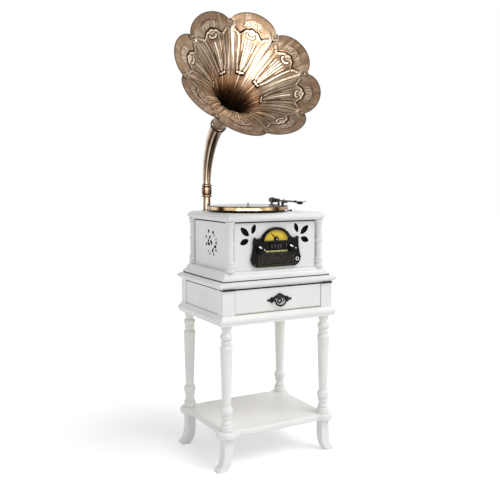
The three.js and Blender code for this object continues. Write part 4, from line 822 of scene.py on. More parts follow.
low, high = span("case_moulding")
tall = high[2] - low[2]
OUT = 11
inner_x, inner_y = leg_x + BLOCK[0] / 2 + 0.3, leg_y + BLOCK[1] / 2 + 0.3
half = (high - low) / 2
outer = trace(
    (0.55 * OUT, 0), (0.28 * OUT, 0.08 * tall, -0.6), (0.28 * OUT, 0.24 * tall, 0),
    (0.02 * OUT, 0.34 * tall, 0), (0.06 * OUT, 0.58 * tall, -0.3), (0.4 * OUT, 0.72 * tall, 0.7),
    (0.46 * OUT, 0.76 * tall, 0), (0.82 * OUT, 0.93 * tall, 0.9), (0.85 * OUT, tall, 0),
)
outer[:, 0] = np.clip(outer[:, 0], 0, None)
rim = moulded_board(half[0], half[1], outer, 1.2)[0][0].reshape(len(outer), -1, 3)
wall = np.stack(
    [np.hstack([rounded_rectangle(inner_x, inner_y, 0.4), np.full((16, 1), height)]) for height in (tall, 0)]
)
frame_points = np.concatenate([rim, wall])
moulding = [(frame_points.reshape(-1, 3), [quads(*frame_points.shape[:2], close_rows=True)])]
make("case_moulding_frame", at(moulding, floor_of(low, high)), *WHITE, ["case_moulding"])

# %% [markdown]
# The aprons close the case at the sides. Each side apron carries a low carved scroll, about 2 mm
# proud, that the lacquer has filled and softened. The face is a height field: at each point of a grid the
# surface rises by the ridges of a few curled lines, each ridge a bell shape of the distance to its line.

# %% Carving by distance
def ridge(grid, line, width):
    """For each grid point 1 on the line, falling off as exp(-(distance / width) squared)."""
    begin, run = line[:-1], np.diff(line, axis=0)
    offset = grid[..., None, :] - begin
    share = np.clip((offset * run).sum(-1) / np.maximum((run * run).sum(-1), 1e-9), 0, 1)
    distance = np.linalg.norm(offset - share[..., None] * run, axis=-1).min(-1)
    return np.exp(-((distance / width) ** 2))


def curl(centre, start, turns, begin, grow, count=40):
    """A spiral round a centre: its radius starts at begin and grows evenly to grow over so many turns."""
    share = np.linspace(0, 1, count)
    angle = start + TURN * turns * share
    radius = begin + (grow - begin) * share
    return np.stack([centre[0] + radius * np.cos(angle), centre[1] + radius * np.sin(angle)], -1)


def scroll_lines(wide, tall):
    """A spray of traditional scrolls, mirrored left and right: two pairs of curls joined by long curves,
    with a small bud above and below."""
    lines = []
    for sign in (-1, 1):
        upper = curl((0.52 * wide, 0.42 * tall), math.pi, -1.1, 0.30 * wide, 0.06 * wide)
        lower = curl((0.55 * wide, -0.38 * tall), math.pi, 1.15, 0.32 * wide, 0.06 * wide)
        stem = curve_through(
            [
                (0.05 * wide, 0.9 * tall), (0.2 * wide, 0.5 * tall), (0.1 * wide, 0.05 * tall),
                (0.2 * wide, -0.4 * tall), (0.04 * wide, -0.9 * tall)
            ]
        )
        leaf = curve_through([(0.12 * wide, 0.02 * tall), (0.5 * wide, 0.1 * tall), (0.95 * wide, 0.0)])
        lines += [each * (sign, 1) for each in (upper, lower, stem, leaf)]
    return lines


CARVING_WIDE = 2.6  # half the width of a carved line


def carved_panel(half_wide, tall, thick, centre, reach, proud):
    """A board lying in y and z with its outer face at x = 0. The face is a grid whose points stand proud by
    the carving's ridges, and the sides and the back close it."""
    y = np.unique(
        np.concatenate(
            [[-half_wide, half_wide], np.linspace(centre[0] - reach[0] * 1.2, centre[0] + reach[0] * 1.2, 90)]
        )
    )
    z = np.unique(
        np.concatenate([[0, tall], np.linspace(centre[1] - reach[1] * 1.15, centre[1] + reach[1] * 1.15, 76)])
    )
    grid = np.stack(np.meshgrid(y, z, indexing="ij"), -1)
    field = np.zeros(grid.shape[:2])
    for line in scroll_lines(*reach):
        field = np.maximum(field, ridge(grid, line + centre, CARVING_WIDE))
    field[[0, -1]], field[:, [0, -1]] = 0, 0
    face = np.stack([proud * field, grid[..., 0], grid[..., 1]], -1)
    rows, columns = grid.shape[:2]
    border = np.concatenate([
        np.arange(columns), columns * np.arange(1, rows) + columns - 1,
        columns * (rows - 1) + np.arange(columns - 2, -1, -1), columns * np.arange(rows - 2, 0, -1),
    ])
    behind = face.reshape(-1, 3)[border] * (0, 1, 1) - (thick, 0, 0)
    points = np.vstack([face.reshape(-1, 3), behind])
    count = len(border)
    ring = np.arange(rows * columns, rows * columns + count)
    edge = np.stack([border, np.roll(border, -1), np.roll(ring, -1), ring], -1)
    return points, [quads(rows, columns, close_columns=False)[:, ::-1], edge, ring[None]]


CARVING_MIDDLE, CARVING_REACH, CARVING_PROUD = (-7, 58.4), (42, 34), 2.1
for side, sign in (("left", -1), ("right", 1)):
    node = f"apron_{side}"
    low, high = span(node)
    place = (low + high) / 2
    thick, wide, tall = high - low
    points, faces = carved_panel(wide / 2, tall, thick, CARVING_MIDDLE, CARVING_REACH, CARVING_PROUD)
    if sign < 0:
        points = points * (-1, 1, 1)
        faces = [face[:, ::-1] for face in faces]
    outer_x = low[0] if sign < 0 else high[0]
    make(f"carved_{node}", at([(points, faces)], (outer_x, place[1], low[2])), *WHITE, [node], 60)

# %% [markdown]
# ## The cabinet
#
# Plinth and lid are boards with a mitred moulding run along their edges: a profile of insets and heights,
# and at each point of it the board's outline moved in by that much. The same could be had by sweeping the
# profile along the edge, but the mitres then need care.

# %% Plinth and lid
edge_board(
    "plinth", 22, 1.4, 0.12, (0.02, 0.1, 0.2), (0.02, 0.32, 0), (0.1, 0.36, 0), (0.42, 0.66, 1.4),
    (0.47, 0.7, 0), (0.6, 0.9, -1.2), (0.66, 0.92, 0), (0.66, 1, 0)
)
edge_board(
    "lid", 15, 1.8, 0.5, (0.42, 0.1, 0), (0.14, 0.2, -0.5), (0.04, 0.24, 0), (0.04, 0.5, -0.5),
    (0.12, 0.56, 0), (0.55, 0.86, -1.3), (0.62, 0.88, 0), (1.0, 1, -1.0)
)

# %% [markdown]
# Right under the lid runs a black strip 5 mm tall, 1.6 mm proud of the cabinet's panels all round: a
# painted shadow, which draws the sharp dark line of shade under the lid on a white cabinet.

# %% Painted shadow under the lid
SHADOW_STRIP = 5  # millimetres tall
low, high = span("front_panel")
side_low, side_high = span("side_panel_left")[0], span("side_panel_right")[1]
back = span("back_panel")[1]
half_x, half_y = (side_high[0] - side_low[0]) / 2 + 1.6, (back[1] - low[1]) / 2 + 1.6
strip = moulded_board(half_x, half_y, soft_edge(SHADOW_STRIP, 0.3, 3), 0.5)
place = ((side_low[0] + side_high[0]) / 2, (low[1] + back[1]) / 2, span("lid")[0][2] - SHADOW_STRIP + 0.1)
# A black strip that paints the shade under the lid.
make("lid_painted_shadow", at(strip, place), BODY, "black_plastic", "painted_shade_black")

# %% [markdown]
# The same painted shadow lies under the plinth and under the tabletop: black strips along the edges where
# the shade falls. The drawer front takes its own length of it along, so that nothing stands in the drawer's
# way.

# %% Painted shadow under the plinth and the tabletop
LINE = 3.4  # millimetres tall
low, high = span("plinth")
half = (high - low) / 2
foot = at(
    moulded_board(half[0] - 0.2, half[1] - 0.2, soft_edge(2.8, 0.3, 3), 1.4),
    floor_of(low, high)
)
case_painted_shadow = []


def line_block(low, high, proud, top):
    """A block over a box's plan, proud of it by so much at each low and high side, its top at a height."""
    low, high = low - proud[0], high + proud[1]
    size = high - low
    return box_part(size[0], size[1], LINE, 0.3, (*((low + high) / 2)[:2], top - LINE))


for side, outer in (("left", ((1.4, 0, 0), (0, 0, 0))), ("right", ((0, 0, 0), (1.4, 0, 0)))):
    low, high = span(f"apron_{side}")
    case_painted_shadow += line_block(low, high, np.array(outer), high[2])
    low, high = span(f"leg_front_{side}")
    reach = np.array(outer) * 0.6 + np.array([(0, 0.8, 0), (0, 0, 0)])
    mid_x = (low[0] + high[0]) / 2
    low[0], high[0] = mid_x - 21.5, mid_x + 21.5
    case_painted_shadow += line_block(low, np.array([high[0], low[1] + 30, high[2]]), reach, high[2])
# Black strips that paint the shade under the plinth and under the tabletop's edge.
make("case_painted_shadow", foot + case_painted_shadow, BODY, "black_plastic", "painted_shade_black")
low, high = span("drawer_front")
high[1] = low[1] + 6
# The drawer front's own strip of painted shade, under the tabletop.
make(
    "drawer_painted_shadow", line_block(low, high, np.array([(0, 0.7, 0), (0, 0, 0)]), high[2]), "drawer",
    "black_plastic", "painted_shade_black"
)

# %% [markdown]
# The columns are turned between centres, like the legs, so each is a profile of radii carried round an axis.
# A quarter of each solid is cut away inside the case, which the turned piece hides.

# %% Corner columns
COLUMN_RADIUS = 15


def column_profile(height):
    """Radii in millimetres and shares of the height: foot, bead, three rings round a straight shaft, and
    head."""
    shares = trace(
        (0, 0), (14.6, 0, 0), (15, 0.005, 0), (15, 0.05, 0), (12, 0.075, -1.2), (12, 0.082, 0),
        (12.4, 0.152, 2.6), (12, 0.158, 0), (12, 0.205, 2.2), (11, 0.21, 0), (11.3, 0.53, 0.15),
        (11.3, 0.592, 2.9), (11, 0.596, 0), (11, 0.885, 0.1), (11.4, 0.925, 2.0), (11.7, 0.93, 0),
        (12, 0.938, 0), (15, 0.955, -0.8), (15, 0.995, 0), (14.6, 1, 0), (0, 1, 0),
    )
    return shares * (1, height)


for end in ("front", "back"):
    for side, sign_x in (("left", -1), ("right", 1)):
        node = f"column_{end}_{side}"
        low, high = span(node)
        # The node's inner quarter is cut away, so its outer corner and its radius give the axis.
        sign_y = -1 if end == "front" else 1
        axis_x = low[0] + COLUMN_RADIUS if sign_x < 0 else high[0] - COLUMN_RADIUS
        axis_y = low[1] + COLUMN_RADIUS if sign_y < 0 else high[1] - COLUMN_RADIUS
        make(
            f"turned_{node}", at(turned(column_profile(high[2] - low[2]), 48), (axis_x, axis_y, low[2])),
            *WHITE, [node], 40
        )


# %% [markdown]
# Boards with sawn openings are drawn as a flat curve with holes, which Blender fills and thickens with a
# rounded edge. A grid can't have many openings, and cutting them with booleans gives ragged edges.

# %% Flat boards with pierced holes
def darken_hole_walls(shape, outline, place, turn):
    """Gives the second material to each face that stands square to the board and lies inside its outline: on
    the white boards a black that paints the shade in the holes.
    """
    normal = np.empty(len(shape.polygons) * 3)
    middle = np.empty(len(shape.polygons) * 3)
    shape.polygons.foreach_get("normal", normal)
    shape.polygons.foreach_get("center", middle)
    through = {"x": 0, "y": 1, "z": 2}[turn[-1]]
    middle = middle.reshape(-1, 3) - np.asarray(place) * MM
    flat = [axis for axis in (0, 1) if axis != through][0]
    reach = np.abs(outline).max(0)
    inside = (np.abs(middle[:, flat]) < reach[0] - MM) & (np.abs(middle[:, 2]) < reach[1] - MM)
    wall = np.abs(normal.reshape(-1, 3)[:, through]) < 0.5
    shape.polygons.foreach_set("material_index", (inside & wall).astype(np.int32))


def pierced(
    name, outline, holes, thick, roll, place, turn, body, slot, look, stands_for=(), walls="painted_shade_black"
):
    """A flat curve of an outline and its holes, filled, given a thickness and a rounded edge, and made a
    mesh. The curve's x and y become across and up, and its depth runs along the axis that turn names. The
    boards that face x and -x mirror each other, so the normals are worked out afresh after the points are
    laid."""
    flat = bpy.data.curves.new(name, "CURVE")
    flat.dimensions, flat.fill_mode = "2D", "BOTH"
    flat.extrude, flat.bevel_depth, flat.bevel_resolution = (thick / 2 - roll) * MM, roll * MM, 2
    flat.offset = -roll * MM
    for line in [outline, *holes]:
        spline = flat.splines.new("POLY")
        spline.points.add(len(line) - 1)
        spline.points.foreach_set(
            "co",
            np.hstack([np.asarray(line) * MM, np.zeros((len(line), 1)), np.ones((len(line), 1))]).ravel()
        )
        spline.use_cyclic_u = True
    holder = bpy.data.objects.new(name, flat)
    bpy.context.scene.collection.objects.link(holder)
    bpy.context.view_layer.update()
    shape = bpy.data.meshes.new_from_object(holder.evaluated_get(bpy.context.evaluated_depsgraph_get()))
    bpy.data.objects.remove(holder)
    count = len(shape.vertices)
    co = np.empty(count * 3)
    shape.vertices.foreach_get("co", co)
    x, y, z = co.reshape(-1, 3).T
    laid = {"-y": (x, -z, y), "-x": (-z, -x, y), "x": (z, -x, y)}[turn]
    shape.vertices.foreach_set("co", (np.stack(laid, -1) + np.asarray(place) * MM).ravel())
    work = bmesh.new()
    work.from_mesh(shape)
    bmesh.ops.remove_doubles(work, verts=work.verts, dist=1e-6)
    bmesh.ops.recalc_face_normals(work, faces=work.faces)
    work.to_mesh(shape)
    work.free()
    shape.shade_smooth()
    shape.set_sharp_from_angle(angle=math.radians(40))
    made = bpy.data.objects.new(name, shape)
    bpy.context.scene.collection.objects.link(made)
    made.data.materials.clear()
    weighted = made.modifiers.new("even shading", "WEIGHTED_NORMAL")
    weighted.keep_sharp = True
    dress(made, body, look, stands_for)
    # On the white boards the walls of the holes take a black that paints their shade.
    made.data.materials.append(finishes[walls])
    darken_hole_walls(made.data, np.asarray(outline) * MM, place, turn)
    return made


def rectangle(wide, tall, x=0, y=0):
    """Four corners, counter-clockwise, round a middle."""
    return np.array([(-1, -1), (1, -1), (1, 1), (-1, 1)]) * (wide / 2, tall / 2) + (x, y)


def leaf(start, stop, wide, count=14):
    """A leaf between two points: on each side half its width times the sine of the way along, to the 0.7."""
    start, stop = np.array(start, float), np.array(stop, float)
    share = np.linspace(0, 1, count)
    run = stop - start
    side = np.array([-run[1], run[0]]) / np.linalg.norm(run)
    reach = wide / 2 * np.sin(math.pi * share) ** 0.7
    spine = start + share[:, None] * run
    return np.vstack([spine + reach[:, None] * side, (spine - reach[:, None] * side)[-2:0:-1]])


# %% [markdown]
# The front panel has a dark hole for the radio's works and three leaves on each side, and a scroll fret is
# sawn through each side panel. On these white boards the walls of each hole get a second material, a black
# that paints the shade inside the holes. The loudspeaker's cloth is stretched just behind.

# %% Front panel with its sound holes
RADIO_X = -2  # millimetres from the table's middle
front_low, front_high = span("front_panel")
front_mid = (front_low + front_high) / 2
wide, tall = front_high[0] - front_low[0], front_high[2] - front_low[2]
CABINET_WIDTH = 340
# Each leaf's two ends and its width, as shares of the cabinet's width and the panel's height.
LEAVES = (
    ((0.257, 0.744), (0.225, 0.944), 0.1), ((0.292, 0.706), (0.381, 0.881), 0.122),
    ((0.295, 0.631), (0.387, 0.55), 0.122),
)
WORKS_HOLE = (144, 74.5, 51.75)  # width, height and the middle's height above the panel's foot
offset = table_x + RADIO_X - front_mid[0]
holes = [rectangle(WORKS_HOLE[0], WORKS_HOLE[1], offset, WORKS_HOLE[2] - tall / 2)]
for sign in (-1, 1):
    for (x0, z0), (x1, z1), share in LEAVES:
        start = (offset + sign * x0 * CABINET_WIDTH, (z0 - 0.5) * tall)
        stop = (offset + sign * x1 * CABINET_WIDTH, (z1 - 0.5) * tall)
        holes.append(leaf(start, stop, share * tall))
pierced(
    "leaf_front_panel", rectangle(wide, tall), holes, front_high[1] - front_low[1], 0.9, front_mid, "-y",
    *WHITE, ["front_panel"]
)
print("front panel", round(wide), "by", round(tall), "mm, with", len(holes), "holes")


# %% Speaker cloth behind the holes
def cloth_panel(name, half_wide, half_tall, place, turn):
    """A board of cloth over a frame: flat, with a soft edge."""
    points, faces = moulded_board(half_wide, half_tall, soft_edge(1.2, 0.5, 3), 6)[0]
    x, y, z = points.T
    laid = (x, -z, y) if turn == "-y" else (z, x, y)
    make(name, at([(np.stack(laid, -1), faces)], place), BODY, "speaker_black", "speaker_cloth")


FRONT_CLOTH, SIDE_CLOTH = (32, 39), (47, 49)  # half the width and height of each
cloth_z = front_low[2] + 0.747 * tall
for side, sign in (("left", -1), ("right", 1)):
    place = (table_x + RADIO_X + sign * 105, front_high[1] + 1.5, cloth_z)
    cloth_panel(f"cloth_{side}", *FRONT_CLOTH, place, "-y")

# %% Side panels with a scroll fret
FRET = (41, 43, 4)  # half its width and height, and how far its middle lies above the panel's
# Each piercing's two ends as shares of those halves, and its width as a share of half the fret's width.
PIERCINGS = (
    (-0.56, 1, -0.32, 0.76, 0.28), (0.3, 0.94, 0.5, 0.7, 0.3), (0.5, 0.66, 0.64, 0.52, 0.16),
    (-1, 0.36, -0.8, 0.5, 0.26), (-0.08, 0.56, -0.34, 0.28, 0.24), (-0.4, 0.24, -0.56, 0.02, 0.26),
    (0.88, 0.38, 1, 0.24, 0.18), (0.86, -0.06, 1.04, 0.12, 0.26), (-0.14, 0.2, 0.26, -0.14, 0.28),
    (-0.92, -0.3, -0.78, -0.04, 0.2), (-0.68, -0.02, -0.16, -0.2, 0.26), (1, -0.24, 0.56, -0.3, 0.26),
    (0.48, -0.36, 0.2, -0.76, 0.24), (0.84, -0.62, 1.02, -0.46, 0.26), (-0.58, -0.6, -0.44, -0.76, 0.18),
    (-0.26, -0.78, -0.1, -0.94, 0.18), (0.46, -0.74, 0.58, -1.02, 0.18),
)
for side, sign in (("left", -1), ("right", 1)):
    node = f"side_panel_{side}"
    low, high = span(node)
    holes = []
    for x0, z0, x1, z1, share in PIERCINGS:
        half_wide, half_tall, up = FRET
        line = leaf((x0 * half_wide, z0 * half_tall), (x1 * half_wide, z1 * half_tall), share * half_wide)
        holes.append(line + (0, up))
    pierced(
        f"fret_{node}", rectangle(high[1] - low[1], high[2] - low[2]), holes, high[0] - low[0], 0.5,
        (low + high) / 2, "-x" if sign < 0 else "x", *WHITE, [node]
    )
    inner = high[0] if sign < 0 else low[0]
    cloth_panel(
        f"side_cloth_{side}", *SIDE_CLOTH,
        (inner - sign * 1.5, (low[1] + high[1]) / 2, (low[2] + high[2]) / 2 + FRET[2]), "x"
    )

# %% [markdown]
# The drawer front is a slab with a small rounded step near its edge, drawn lying down and then stood upright.

# %% The drawer front
low, high = span("drawer_front")
half = (high - low) / 2
mid = (low + high) / 2
edge = trace(
    (0, 0), (0, half[1] * 2 - 2.4, 0), (2.2, half[1] * 2 - 0.4, 1.0), (3.0, half[1] * 2 - 0.9, 0),
    (4.2, half[1] * 2, -0.3)
)
edge[:, 0] = np.clip(edge[:, 0], 0, None)
face = moulded_board(half[0], half[2], edge, 1.0)
make(
    "drawer_face", upright(face, (mid[0], high[1], mid[2])), "drawer", "white_lacquer", "sprayed_lacquer",
    ["drawer_front"]
)

# %% [markdown]
# ## The radio front
#
# The radio is one moulding of black ABS: a plate like a small mantel clock, with a rolled bead round it, a
# half round dial in a well under a hood, two knobs, a window with three keys, and a door below. It is drawn
# from the front, in millimetres from the middle of its lower edge, and then stood upright. A flat curve
# with holes gives the plate, because a grid can't have so many openings, and everything on it is a grid
# again.

# %% The radio's outline
def bezier(points, count=14):
    """A cubic Bezier curve on four control points: with u = 1 - t, the sum of u^3 a, 3 u^2 t b, 3 u t^2 c
    and t^3 d, for t from 0 to 1."""
    share = np.linspace(0, 1, count)[:, None]
    a, b, c, d = np.array(points, float)
    rest = 1 - share
    return rest**3 * a + 3 * rest**2 * share * b + 3 * rest * share**2 * c + share**3 * d


def mirrored(half):
    """A line up the right side and over to the middle, and the same down the left side."""
    return np.vstack([half, (half * (-1, 1))[-2::-1]])


radio_low, radio_high = span("radio_bezel")
radio_x, radio_z = table_x + RADIO_X, radio_low[2]
RADIO_THICK, LAYER = 7, 2.8
face_y = radio_high[1] - RADIO_THICK
half_wide, height = (radio_high[0] - radio_low[0]) / 2, radio_high[2] - radio_low[2]
SIDE = (
    (0.75, 0), (0.91, 0.06), (1, 0.21), (0.97, 0.3), (0.91, 0.5), (0.9, 0.66), (0.85, 0.76), (0.76, 0.72),
    (0.6, 0.75)
)
CROWN = ((0.6, 0.75), (0.44, 0.93), (0.26, 1), (0, 1))
scale = (half_wide, height)
radio_line = mirrored(
    np.vstack([curve_through(np.array(SIDE) * scale, 6)[:-1], bezier(np.array(CROWN) * scale)])
)
DIAL_WIDE, DIAL_RISE, DIAL_FOOT = 46.5, 35, 86.5


def dial_arch(inset):
    """The dial's half round outline, moved in by an inset."""
    wide, rise, foot = DIAL_WIDE - inset, DIAL_RISE - 2 * inset, DIAL_FOOT + inset
    crown = ((wide, foot), (wide, foot + 0.62 * rise), (0.58 * wide, foot + rise), (0, foot + rise))
    return mirrored(bezier(crown, 20))


print("the radio is", round(2 * half_wide), "by", round(height), "mm, on", len(radio_line), "points")

# %% The moulded plate in two layers
KNOB_X, KNOB_Z = 61, 58.5
WINDOW = rectangle(36.6, 18.6, -7, 69)
round_hole = np.array([(math.cos(a), math.sin(a)) for a in np.linspace(0, TURN, 24, endpoint=False)])
knob_holes = [3.4 * round_hole + (sign * KNOB_X, KNOB_Z) for sign in (-1, 1)]
BLACK = (BODY, "black_plastic", "moulded_black_abs")
pierced(
    "radio_front", radio_line, [dial_arch(0), WINDOW, *knob_holes], RADIO_THICK - LAYER, 1.4,
    (radio_x, face_y + (RADIO_THICK - LAYER) / 2, radio_z), "-y", *BLACK, ["radio_bezel"],
    "moulded_black_abs"
)
pierced("radio_backing", moved_in(radio_line, 1.5), [WINDOW, *knob_holes], LAYER, 0.3,
        (radio_x, radio_high[1] - LAYER / 2, radio_z), "-y", *BLACK, (), "moulded_black_abs")

# %% Bead, hood and ears
def front_line(line, forward=0.0):
    """A line of the front view as points in space, so far in front of the radio's face."""
    return np.stack([line[:, 0] + radio_x, np.full(len(line), face_y - forward), line[:, 1] + radio_z], -1)


def front(parts, forward=0.0, place=(0, 0)):
    """Parts of the front view, stood upright on the radio's face at a place, so far in front of it."""
    return upright(parts, (radio_x + place[0], face_y - forward, radio_z + place[1]))


bead = tube(front_line(moved_in(radio_line, 2.2)), 1.7, 12, (0, 1, 0), True)
hood = tube(front_line(dial_arch(-2.4), 1.2), 2.7, 14, (0, 1, 0), True)
make("radio_bead", bead + hood, BODY, "black_plastic", "polished_black_abs")
boss = trace((0, 0), (4.6, 0, 0), (4.6, 1.2, 0.3), (0, 3.4, 1.6))
EARS = ((-82, 94), (82, 94))
make(
    "radio_ears", [part for ear in EARS for part in front(turned(boss, 32), -0.5, ear)], BODY,
    "black_plastic", "polished_black_abs"
)

# %% [markdown]
# The dial is a yellow card, printed with a scale. The ticks stand a tenth of a millimetre proud and are drawn
# 0.6 mm wide, a little bolder than print, so that they show. Each lies on a ray from the pointer's pin, and
# ends at the same share of an ellipse inside the arch.

# %% Dial card and scale
def plates(outlines, low, high):
    """A flat plate on each outline of corners, counter-clockwise, from a lower to an upper height."""
    outlines = np.asarray(outlines, float)
    flat = np.ones((*outlines.shape[:2], 1))
    return [
        capped(np.stack(rows))
        for rows in zip(np.dstack([outlines, low * flat]), np.dstack([outlines, high * flat]))
    ]


card_y = face_y + (RADIO_THICK - LAYER)
make(
    "dial_plate", upright(shaped_board(dial_arch(0.5), soft_edge(1.5, 0.3, 3)), (radio_x, card_y, radio_z)),
    BODY, "dial_yellow", "dial_card", ["dial_face"]
)
needle = pivot("needle_turn")
hub_z = needle[2] - radio_z
SCALE_WIDE, SCALE_TALL = 42, 27  # halves of the ellipse that the ticks end on
ticks = []
for number, angle in enumerate(np.radians(np.linspace(-78, 78, 33))):
    ray, side = np.array([math.sin(angle), math.cos(angle)]), np.array([math.cos(angle), -math.sin(angle)])
    reach = 1 / math.hypot(ray[0] / SCALE_WIDE, ray[1] / SCALE_TALL)
    inner, outer = reach * (0.8 if number % 4 == 0 else 0.89), reach * 0.98
    thick = 0.45 if number % 4 == 0 else 0.25
    start, stop = (0, hub_z) + inner * ray, (0, hub_z) + outer * ray
    ticks.append([start - thick * side, start + thick * side, stop + thick * side, stop - thick * side])
ticks.append(rectangle(84, 0.6, 0, hub_z + 1.5))
ticks = np.array(
    [
        line if (np.cross(line[1] - line[0], line[2] - line[1]) > 0) else line[::-1]
        for line in map(np.array, ticks)
    ]
)
make(
    "dial_scale", upright(plates(ticks, 0, 0.1), (radio_x, card_y - 1.5, radio_z)), BODY, "black_plastic",
    "dial_print"
)
print(len(ticks) - 1, "ticks on the dial")

# %% Pointer
def spun(parts, degrees):
    """Parts turned in the front view, counter-clockwise."""
    cosine, sine = math.cos(math.radians(degrees)), math.sin(math.radians(degrees))
    turn = np.array([(cosine, sine, 0), (-sine, cosine, 0), (0, 0, 1)])
    return [(points @ turn, faces) for points, faces in parts]


# The pointer's blade, and beside it a shorter black blade that paints the pointer's shadow on the card.
pointer_and_painted_shadow = plates(
    [[(-1.0, 4), (1.0, 4), (0.45, 28.5), (-0.45, 28.5)], [(2.2, 4), (3.4, 4), (1.6, 24), (1.0, 24)]], 0.2,
    0.9
)
tail = plates([[(-0.8, -9), (0.8, -9), (1.0, 0), (-1.0, 0)]], 0.2, 0.9)
cap = trace(
    (0, -3.5), (1.6, -3.5, 0), (1.6, 0.1, 0), (8.2, 0.1, 0), (8.4, 2.2, 0.5), (7.4, 4.4, 0.6), (0, 5.6, 1.0)
)
shine = trace((0, 5.0), (1.8, 5.0, 0), (1.5, 5.9, 0.3), (0, 6.2, 0.1))
make(
    "dial_pointer", upright(spun(pointer_and_painted_shadow + tail + turned(cap, 40), 45), needle), "dial_needle",
    "black_plastic", "polished_black_abs", ["dial_needle"],
    inlay=("chrome_plate", upright(turned(shine, 24), needle))
)

# %% [markdown]
# Each knob is a black skirt with 24 flutes to grip, a waist, and a chromed bar across its cap, which catches
# the light at both ends. The flutes are cut by the radius itself: it shrinks by a few hundredths with the
# cosine of 24 times the angle.

# %% Knobs
def fluted(profile, flutes, sink, where):
    """A turned part whose radius, on the rows inside the height range, is less by sink times half of
    1 - cosine(flutes x angle)."""
    points, faces = turned(profile, 6 * flutes)[0]
    angle = np.arctan2(points[:, 1], points[:, 0])
    cut = np.where(
        (points[:, 2] > where[0]) & (points[:, 2] < where[1]), sink, 0
    ) * (1 - np.cos(flutes * angle)) / 2
    points[:, :2] *= 1 - cut[:, None]
    return [(points, faces)]


profile = trace(
    (0, -9), (3, -9, 0), (3, 0, 0), (13.2, 0, 0), (14, 0.8, 0.2), (14, 3.4, 0), (13.2, 4.4, 0.3),
    (11.8, 6, -0.8), (11, 13, 0.2), (9.4, 14.9, 0.8), (0, 14.9, 0),
)
GRIPS = {"volume": ((-14, 12), (9, 0)), "tuning": ((-18, 13), (7, 2))}
for knob, (start, stop) in GRIPS.items():
    place = pivot(f"{knob}_turn")
    share = np.linspace(0, 1, 13)[:, None]
    line = np.array(start) + share * (np.array(stop) - start)
    arch = np.hstack([line, 14.6 + 1.6 * np.sin(math.pi * share)])
    grip = tube(arch, 3.3 - 1.5 * (2 * share[:, 0] - 1) ** 6, 14)
    middle_cap = trace((0, 14), (4.8, 14, 0), (4.8, 19.2, 0.3), (0, 20.6, 1.0))
    body = fluted(profile, 24, 0.06, (0.5, 4)) + at(turned(middle_cap, 32), (*line[7], 0))
    make(
        f"{knob}_dial", upright(body, place), f"{knob}_knob", "black_plastic", "moulded_black_abs",
        [f"{knob}_knob"], inlay=("chrome_plate", upright(grip, place))
    )

# %% Keys and window
for number in (1, 2, 3):
    low, high = span(f"key_{number}")
    body = moulded_board(
        (high[0] - low[0]) / 2 - 0.1, (high[2] - low[2]) / 2, soft_edge(high[1] - low[1], 0.8, 3), 0.8
    )
    bar = at(moulded_board(1.9, 6.6, soft_edge(0.9, 0.4, 3), 1.2), (0, 0, high[1] - low[1] - 0.3))
    place = ((low[0] + high[0]) / 2, high[1], (low[2] + high[2]) / 2)
    make(
        f"piano_key_{number}", upright(body, place), f"key_{number}", "black_plastic", "moulded_black_abs",
        [f"key_{number}"], inlay=("moulded_grey_abs", upright(bar, place))
    )
frame_line = rounded_rectangle(27, 12.5, 2, 4) + (0, 69.5)
window_frame = tube(front_line(frame_line), 0.9, 10, (0, 1, 0), True)
marks = [
    front(moulded_board(1.8, 6.6, soft_edge(0.8, 0.3, 3), 1.2), -0.2, (x, z))
    for x, z in ((17, 69), (39, 71))
]
make(
    "window_frame", window_frame, BODY, "black_plastic", "polished_black_abs",
    inlay=("moulded_grey_abs", [part for parts in marks for part in parts])
)

# %% [markdown]
# Below the keys lies a narrow printed strip, left without its lettering, then a row of small pointed ridges
# and a door in a ribbed surround, and at the lower right a chromed jack socket. Two screws hold the
# corners.

# %% Strip, ridges and door
strip = front(moulded_board(42.5, 2.5, soft_edge(1.2, 0.4, 3), 0.8), 0, (0, 52))
make("printed_strip", strip, BODY, "dial_yellow", "strip_print")
DOOR_WIDE, DOOR_TALL, DOOR_FOOT, RIB_PITCH = 138, 36, 10, 3.4
tooth = np.array([(-1.6, -1.8), (1.6, -1.8), (0, 1.8)])
across = np.arange(-60, 61, 4)[:, None, None]
ridges = plates(tooth + np.dstack([across, 0 * across + 46]).reshape(-1, 1, 2), 0, 0.7)
upward = np.arange(DOOR_FOOT + 1, DOOR_FOOT + DOOR_TALL - 3, RIB_PITCH)
sideways = np.arange(-DOOR_WIDE / 2 + 3, DOOR_WIDE / 2 - 2, RIB_PITCH)
ribs = [rectangle(7.5, 1.5, sign * (DOOR_WIDE / 2 - 3.5), z) for sign in (-1, 1) for z in upward]
ribs += [rectangle(1.5, 5, x, DOOR_FOOT - 3.5) for x in sideways]
make(
    "door_surround", front(plates(ribs, 0, 0.9)), BODY, "black_plastic", "ribbed_olive_abs",
    inlay=("moulded_grey_abs", front(ridges))
)
panel = trace((0, 0), (0, 1.2, 0), (0.8, 2.0, 0.3), (3.2, 2.0, 0), (4.2, 1.1, -0.3), (8, 1.1, 0))
door = front(
    moulded_board(DOOR_WIDE / 2 - 9, DOOR_TALL / 2 - 1.5, panel, 2.0), -0.3,
    (0, DOOR_FOOT + DOOR_TALL / 2 - 0.5)
)
notch = front(moulded_board(9, 1.4, soft_edge(1.6, 0.6, 3), 1.2), -0.3, (0, DOOR_FOOT + DOOR_TALL - 6))
make("radio_door", door + notch, BODY, "black_plastic", "grained_black_abs")
ring = trace((3.8, 0), (6.4, 0, 0), (6.2, 1.8, 0.6), (3.8, 2.2, 0.8), (3.2, 1.0, 0))
screw = trace((0, 0), (2.9, 0, 0), (2.7, 0.8, 0.2), (0, 1.6, 0.6))
screws = [part for place in ((-82, 9.5), (75, 9.5)) for part in front(turned(screw, 24), 0, place)]
